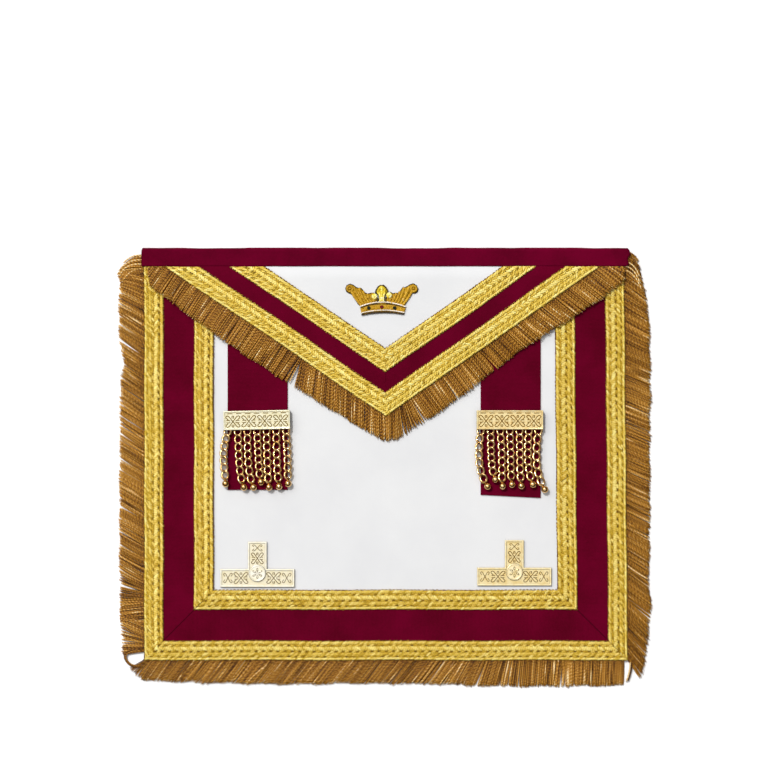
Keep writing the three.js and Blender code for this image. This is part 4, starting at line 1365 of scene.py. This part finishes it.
level = {
    "base": 62.6, "baseHeight": 15.2, "stem": 15.9, "height": 38.3, "thickness": 2.2, "rim": 1.4,
    "pocket": 0.6, "bevel": 0.4, "lift": 1.5,
    # the ornament of half the base, and of the stem: x, y, width, height, wire, with leaves
    "baseScrolls": [(13.8, 7.6, 12.4, 9.6, 0.4, True), (24.8, 7.6, 7.6, 8.4, 0.36, False)],
    "stemScrolls": [(0, 24.2, 10.4, 9.6, 0.4, True), (0, 33.0, 8.4, 5.4, 0.34, False)],
    "sink": 0.08,
}
disc = {
    "radius": 6.6, "rise": 11.6, "thickness": 0.8, "rim": 0.7, "pocket": 0.35, "bevel": 0.12,
    "lift": 0.3,
    "petals": 6, "petalOut": 3.0, "petalTurn": 30,
    # height, turn, length, width, depth and tone of the rosette's middle, and of a petal
    "middle": (0.5, 0, 2.0, 2.0, 0.6, 0.5),
    "petal": (0.48, 3.6, 2.0, 0.6, 0.5),
    # the dark line round its foot is a ring that stands for the boss's shadow, painted dark by
    # height
    "seam": {"out": 0.25, "wire": 0.42},  # the dark line round its foot
}
levels = {
    "left": {"place": (-106.8, -286.3), "metal": "level"},
    "right": {"place": (109.9, -285.1), "metal": "warmlevel"},
}


def levelPlate(side):
    bpy.ops.object.select_all(action="DESELECT")
    bpy.ops.mesh.primitive_grid_add(x_subdivisions=3, y_subdivisions=2, size=1)
    plate = bpy.context.object
    columns = np.array([-level["base"], -level["stem"], level["stem"], level["base"]]) / 2
    rows = np.array([0, level["baseHeight"], level["height"]])
    points = pointsOf(plate)
    column = np.round((points[:, 0] + 0.5) * 3).astype(int)
    row = np.round((points[:, 1] + 0.5) * 2).astype(int)
    movePoints(plate, np.column_stack([columns[column], rows[row], np.zeros(len(points))]))
    halfStem, shoulder = level["stem"] / 2, level["baseHeight"]
    editFaces(plate, lambda face: abs(face.center.x) > halfStem and face.center.y > shoulder)
    bpy.ops.mesh.delete(type="FACE")
    bpy.ops.mesh.select_all(action="SELECT")
    pullUp(level["thickness"])
    endEdit()
    faceOut(plate)
    sinkTop(plate, level["thickness"], level["rim"], level["pocket"])
    apply(plate, "BEVEL", width=level["bevel"], segments=2, limit_method="ANGLE")
    z = level["thickness"] - level["pocket"] - level["sink"]
    made = [plate]
    sides = [(hand * x, *row) for hand in (-1, 1) for x, *row in level["baseScrolls"]]
    for x, y, width, height, wire, leafy in sides + level["stemScrolls"]:
        made += scrolls(x, y, width, height, z, wire, leafy)
    place = np.array([*levels[side]["place"], level["lift"]])
    metal = levels[side]["metal"]
    setCasting(join(made), f"level.{side}", place, metal, f"level_{side}")


def levelDisc(side):
    # a small round boss with a rosette
    bpy.ops.object.select_all(action="DESELECT")
    bpy.ops.mesh.primitive_cylinder_add(
        vertices=48, radius=disc["radius"], depth=disc["thickness"]
    )
    boss = bpy.context.object
    movePoints(boss, pointsOf(boss) + [0, 0, disc["thickness"] / 2])
    sinkTop(boss, disc["thickness"], disc["rim"], disc["pocket"])
    apply(boss, "BEVEL", width=disc["bevel"], segments=2, limit_method="ANGLE")
    places = [[0, 0, *disc["middle"]]]
    height, *petal = disc["petal"]
    for index in range(disc["petals"]):
        angle = math.radians(360 / disc["petals"] * index + disc["petalTurn"])
        x, y = disc["petalOut"] * math.cos(angle), disc["petalOut"] * math.sin(angle)
        places.append([x, y, height, angle, *petal])
    petals = joinedCopies("petals", [(bead, *placedBeads(bead, np.array(places)))])
    # a ring round the boss's foot that the height shading paints dark: a painted shadow
    bpy.ops.object.select_all(action="DESELECT")
    bpy.ops.mesh.primitive_torus_add(
        major_radius=disc["radius"] + disc["seam"]["out"], minor_radius=disc["seam"]["wire"],
        major_segments=48, minor_segments=8,
    )
    piece = join([boss, petals, bpy.context.object])
    x, y = levels[side]["place"]
    place = np.array([x, y + disc["rise"], level["lift"] + level["thickness"] + disc["lift"]])
    metal = levels[side]["metal"]
    setCasting(piece, f"levelDisc.{side}", place, metal, f"level_disc_{side}")


for side in levels:
    levelPlate(side)
    levelDisc(side)
print("levels laid")


# Crown badge, worked in rows of gold purl

crown = {
    "place": (-1.9, -56.4, 6.3), "edge": 0.75, "plate": 0.55, "padding": 0.35, "fleurLift": 0.12,
    "jitter": (0.06, 0.08),  # of each stitch: turn, tone
    "armTones": (0.46, 0.6),
}
# the rows of stitches: pitch, length, width, depth, height
stitches = {
    "arm": (1.5, 3.0, 2.5, 1.1, 0.9), "knob": (1.3, 2.8, 2.2, 1.1, 0.95),
    "stem": (1.3, 2.4, 1.9, 1.1, 1.2), "dome": (1.3, 2.5, 2.2, 1.1, 1.2),
    "outline": (1.2, 2.2, 1.2, 0.9, 1.1), "gap": (1.2, 2.2, 1.6, 0.9, 1.0),
    "lobe": (1.2, 2.8, 2.3, 1.1, 1.2), "spine": (1.4, 2.8, 2.6, 1.1, 1.25),
}
# the rows along the band: share of the way down it, slant, tone, and the stitches as above
bandRows = [
    (0.0, 6, 1.0, (1.5, 2.6, 1.5, 1.0, 1.0)), (0.17, 6, 0.12, (1.5, 2.6, 0.8, 1.0, 1.0)),
    (0.76, 6, 1.0, (1.5, 2.6, 1.3, 1.0, 1.0)), (0.96, 6, 0.0, (1.5, 2.6, 1.8, 1.0, 1.0)),
    (0.32, 34, 0.5, (1.4, 2.6, 1.7, 1.0, 1.0)), (0.47, -34, 0.5, (1.4, 2.6, 1.7, 1.0, 1.0)),
    (0.62, 34, 0.5, (1.4, 2.6, 1.7, 1.0, 1.0)),
]
# outlines of the badge in millimetres from its place: its arms, its band, and the fleur
crownOutlines = {
    "armLeft": [
        (-16.9, 5.6), (-20.4, 8.8), (-22.5, 12.5), (-24.7, 16.3), (-27.4, 17.6), (-29.8, 18.8),
        (-30.8, 21.6), (-29.6, 24.6), (-26.8, 25.8), (-24.2, 25.0), (-21.3, 22.9), (-19.2, 22.2),
        (-17.9, 22.5), (-16.2, 21.0), (-14.5, 18.6), (-12.0, 17.5), (-9.1, 18.2), (-6.6, 18.2),
        (-4.2, 15.2), (-2.4, 12.6), (-2.4, 8.6),
    ],
    "armRight": [
        (2.4, 8.6), (2.4, 12.6), (4.4, 15.6), (7.0, 19.0), (9.5, 17.8), (12.0, 18.2),
        (14.1, 18.0), (16.2, 21.0), (17.9, 23.2), (19.2, 22.7), (21.7, 23.9), (23.8, 25.4),
        (26.5, 26.2), (29.3, 24.6), (31.0, 21.2), (29.9, 18.4), (27.6, 17.3), (25.4, 17.8),
        (23.8, 15.1), (22.1, 11.7), (20.4, 8.8), (17.9, 5.6),
    ],
    "band": [
        (-16.4, -0.4), (-17.6, 6.9), (-12.0, 8.8), (-6.5, 9.9), (0.0, 10.4), (6.5, 10.0),
        (12.0, 8.9), (19.7, 6.6), (18.2, 0.0), (12.0, 0.9), (6.0, 1.2), (0.0, 1.2), (-6.0, 0.7),
        (-12.0, 0.1),
    ],
    "fleur": [
        (-2.6, 11.0), (-2.5, 13.6), (-3.0, 15.4), (-4.4, 17.2), (-5.2, 19.2), (-4.2, 21.8),
        (-2.4, 23.8), (-0.8, 24.7), (0.8, 24.7), (2.4, 23.8), (4.2, 21.8), (5.2, 19.2),
        (4.4, 17.2), (3.0, 15.4), (2.5, 13.6), (2.6, 11.0),
    ],
}


def plateShape(outline):
    # a padded shape: a low dark edge, and its top set in from it and raised
    outline = np.array(outline)
    bpy.ops.object.select_all(action="DESELECT")
    bpy.ops.mesh.primitive_circle_add(vertices=len(outline), radius=1, fill_type="NGON")
    plate = bpy.context.object
    movePoints(plate, np.column_stack([outline, np.zeros(len(outline))]))
    faceOut(plate)
    edit(plate)
    pullUp(crown["plate"])
    bpy.ops.mesh.inset(thickness=crown["edge"])
    pullUp(crown["padding"])
    endEdit()
    faceOut(plate)
    return takeShape(plate)


def plateGroup(name, tone):
    shape = plateShape(crownOutlines[name])
    placed = shape["points"][None]
    raised = placed[..., 2] > crown["plate"] + 0.1
    return shape, placed, placed[..., :2], np.where(raised, tone, 0.0)


def rowPlaces(path, slant, tone, pitch, length, width, depth, z):
    path = np.asarray(path, float)
    ways = waysOf(path)
    count = max(2, int(round(ways[-1] / pitch)) + 1)
    at = np.linspace(0, ways[-1], count)

    def along(shift):
        return [np.interp(at + shift, ways, path[:, axis]) for axis in range(2)]

    aheadX, aheadY = np.subtract(along(0.4), along(-0.4))
    jitter = chance.normal(0, 1, (count, 2)) * crown["jitter"]
    turn = np.arctan2(aheadY, aheadX) + math.radians(slant) + jitter[:, 0]
    tone = np.clip(tone + jitter[:, 1], 0, 1)
    columns = [*along(0), z, turn, length, width, depth, tone]
    return np.column_stack([np.broadcast_to(column, count) for column in columns])


def arcPoints(centre, radius, fromAngle, toAngle, count=24):
    angles = np.radians(np.linspace(fromAngle, toAngle, count))
    return np.array(centre) + radius * np.column_stack([np.cos(angles), np.sin(angles)])


def curvePoints(start, middle, end, count=20):
    t = np.linspace(0, 1, count)[:, None]
    start, middle, end = np.array(start), np.array(middle), np.array(end)
    return (1 - t) ** 2 * start + 2 * t * (1 - t) * middle + t * t * end


def bandRow(drop):
    # a line along the crown's band, a share of the way from its top edge to its bottom
    top = curvePoints((-17.4, 6.9), (0.6, 13.9), (19.5, 6.6), 30)
    bottom = curvePoints((-16.0, -0.5), (0.6, 2.9), (17.8, 0.1), 30)
    return top + (bottom - top) * drop


# where the rows of an arm start on the band, and where they end
armRows = {
    "left": {
        "feet": [
            (-17.8, 8.2), (-15.6, 8.6), (-13.3, 9.2), (-11.0, 9.8), (-8.6, 10.2), (-6.2, 10.5),
        ],
        "tips": [
            (-25.4, 19.2), (-23.0, 21.4), (-18.8, 20.9), (-15.6, 18.6), (-12.0, 16.2), (-8.0, 16.8),
        ],
    },
    "right": {
        "feet": [(18.0, 8.2), (15.8, 8.6), (13.5, 9.2), (11.2, 9.8), (8.8, 10.2), (6.4, 10.5)],
        "tips": [
            (25.4, 19.2), (22.8, 22.2), (18.6, 21.4), (15.0, 18.0), (12.0, 16.6), (8.4, 16.4),
        ],
    },
}


def workCrown():
    rows = [rowPlaces(bandRow(drop), slant, tone, *row) for drop, slant, tone, row in bandRows]
    for hand, side in ((-1, "left"), (1, "right")):
        for foot, tip in zip(armRows[side]["feet"], armRows[side]["tips"]):
            middle = np.add(foot, tip) / 2 + [0.6 * hand, -0.5]
            path, tone = curvePoints(foot, middle, tip), chance.uniform(*crown["armTones"])
            rows.append(rowPlaces(path, 34 * hand, tone, *stitches["arm"]))
        knob = (26.9 * hand, 21.6)
        rows.append(rowPlaces(arcPoints(knob, 2.3, 0, 330), 16, 0.5, *stitches["knob"]))
        rows.append(np.array([[*knob, 1.1, 0.3, 2.6, 2.4, 1.2, 0.42]]))
    plates = [plateGroup(name, 0.46) for name in ("armLeft", "armRight", "band")]
    setBadge("crownArms", rows, plates, 0, "crownGold", "crown_arms")

    rows = []
    for hand in (-1, 1):
        stem = curvePoints((hand * 1.4, 11.4), (hand * 1.1, 14.0), (hand * 2.2, 17.6))
        dome = curvePoints((hand * 1.4, 18.4), (hand * 4.2, 20.2), (hand * 0.6, 23.0))
        # the dark line down each upper side, and the dark gap beside the foot
        edge = curvePoints((hand * 1.6, 24.2), (hand * 4.4, 22.4), (hand * 5.3, 18.6))
        gap = [(hand * 3.5, 11.0), (hand * 3.6, 13.4)]
        lobe = (6.2 * hand, 15.6 + 0.5 * hand)
        rows.append(rowPlaces(stem, 12 * hand, 0.78, *stitches["stem"]))
        rows.append(rowPlaces(dome, 16 * hand, 0.52, *stitches["dome"]))
        rows.append(rowPlaces(edge, 0, 0.0, *stitches["outline"]))
        rows.append(rowPlaces(gap, 0, 0.0, *stitches["gap"]))
        rows.append(rowPlaces(arcPoints(lobe, 1.5, 0, 300), 16, 0.82, *stitches["lobe"]))
        rows.append(np.array([[*lobe, 1.5, 0.3, 2.6, 2.4, 1.1, 0.86]]))
    rows.append(rowPlaces([(0, 12.2), (0, 22.6)], 10, 0.74, *stitches["spine"]))
    plates, lift = [plateGroup("fleur", 0.6)], crown["fleurLift"]
    setBadge("crownFleur", rows, plates, lift, "crownYellow", "crown_fleur")


def setBadge(name, rows, plates, lift, finish, node):
    stitched = (bead, *placedBeads(bead, np.concatenate(rows)))
    piece = joinedCopies(name, [stitched, *plates])
    movePoints(piece, toFrame(pointsOf(piece) + np.array(crown["place"]) + [0, 0, lift]))
    settle(piece, name, finishes[finish], [node])


workCrown()
for node, finish in [("red", "red"), ("green_left", "green"), ("green_right", "green")]:
    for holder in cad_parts[f"crown_jewel_{node}"].material_slots:
        holder.material = finishes[finish]
print("crown worked")


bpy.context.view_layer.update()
meshes = [piece.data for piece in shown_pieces()]
triangles = [len(mesh.loops) - 2 * len(mesh.polygons) for mesh in meshes]
print("pieces", len(meshes), "triangles", sum(triangles), "most in one", max(triangles))
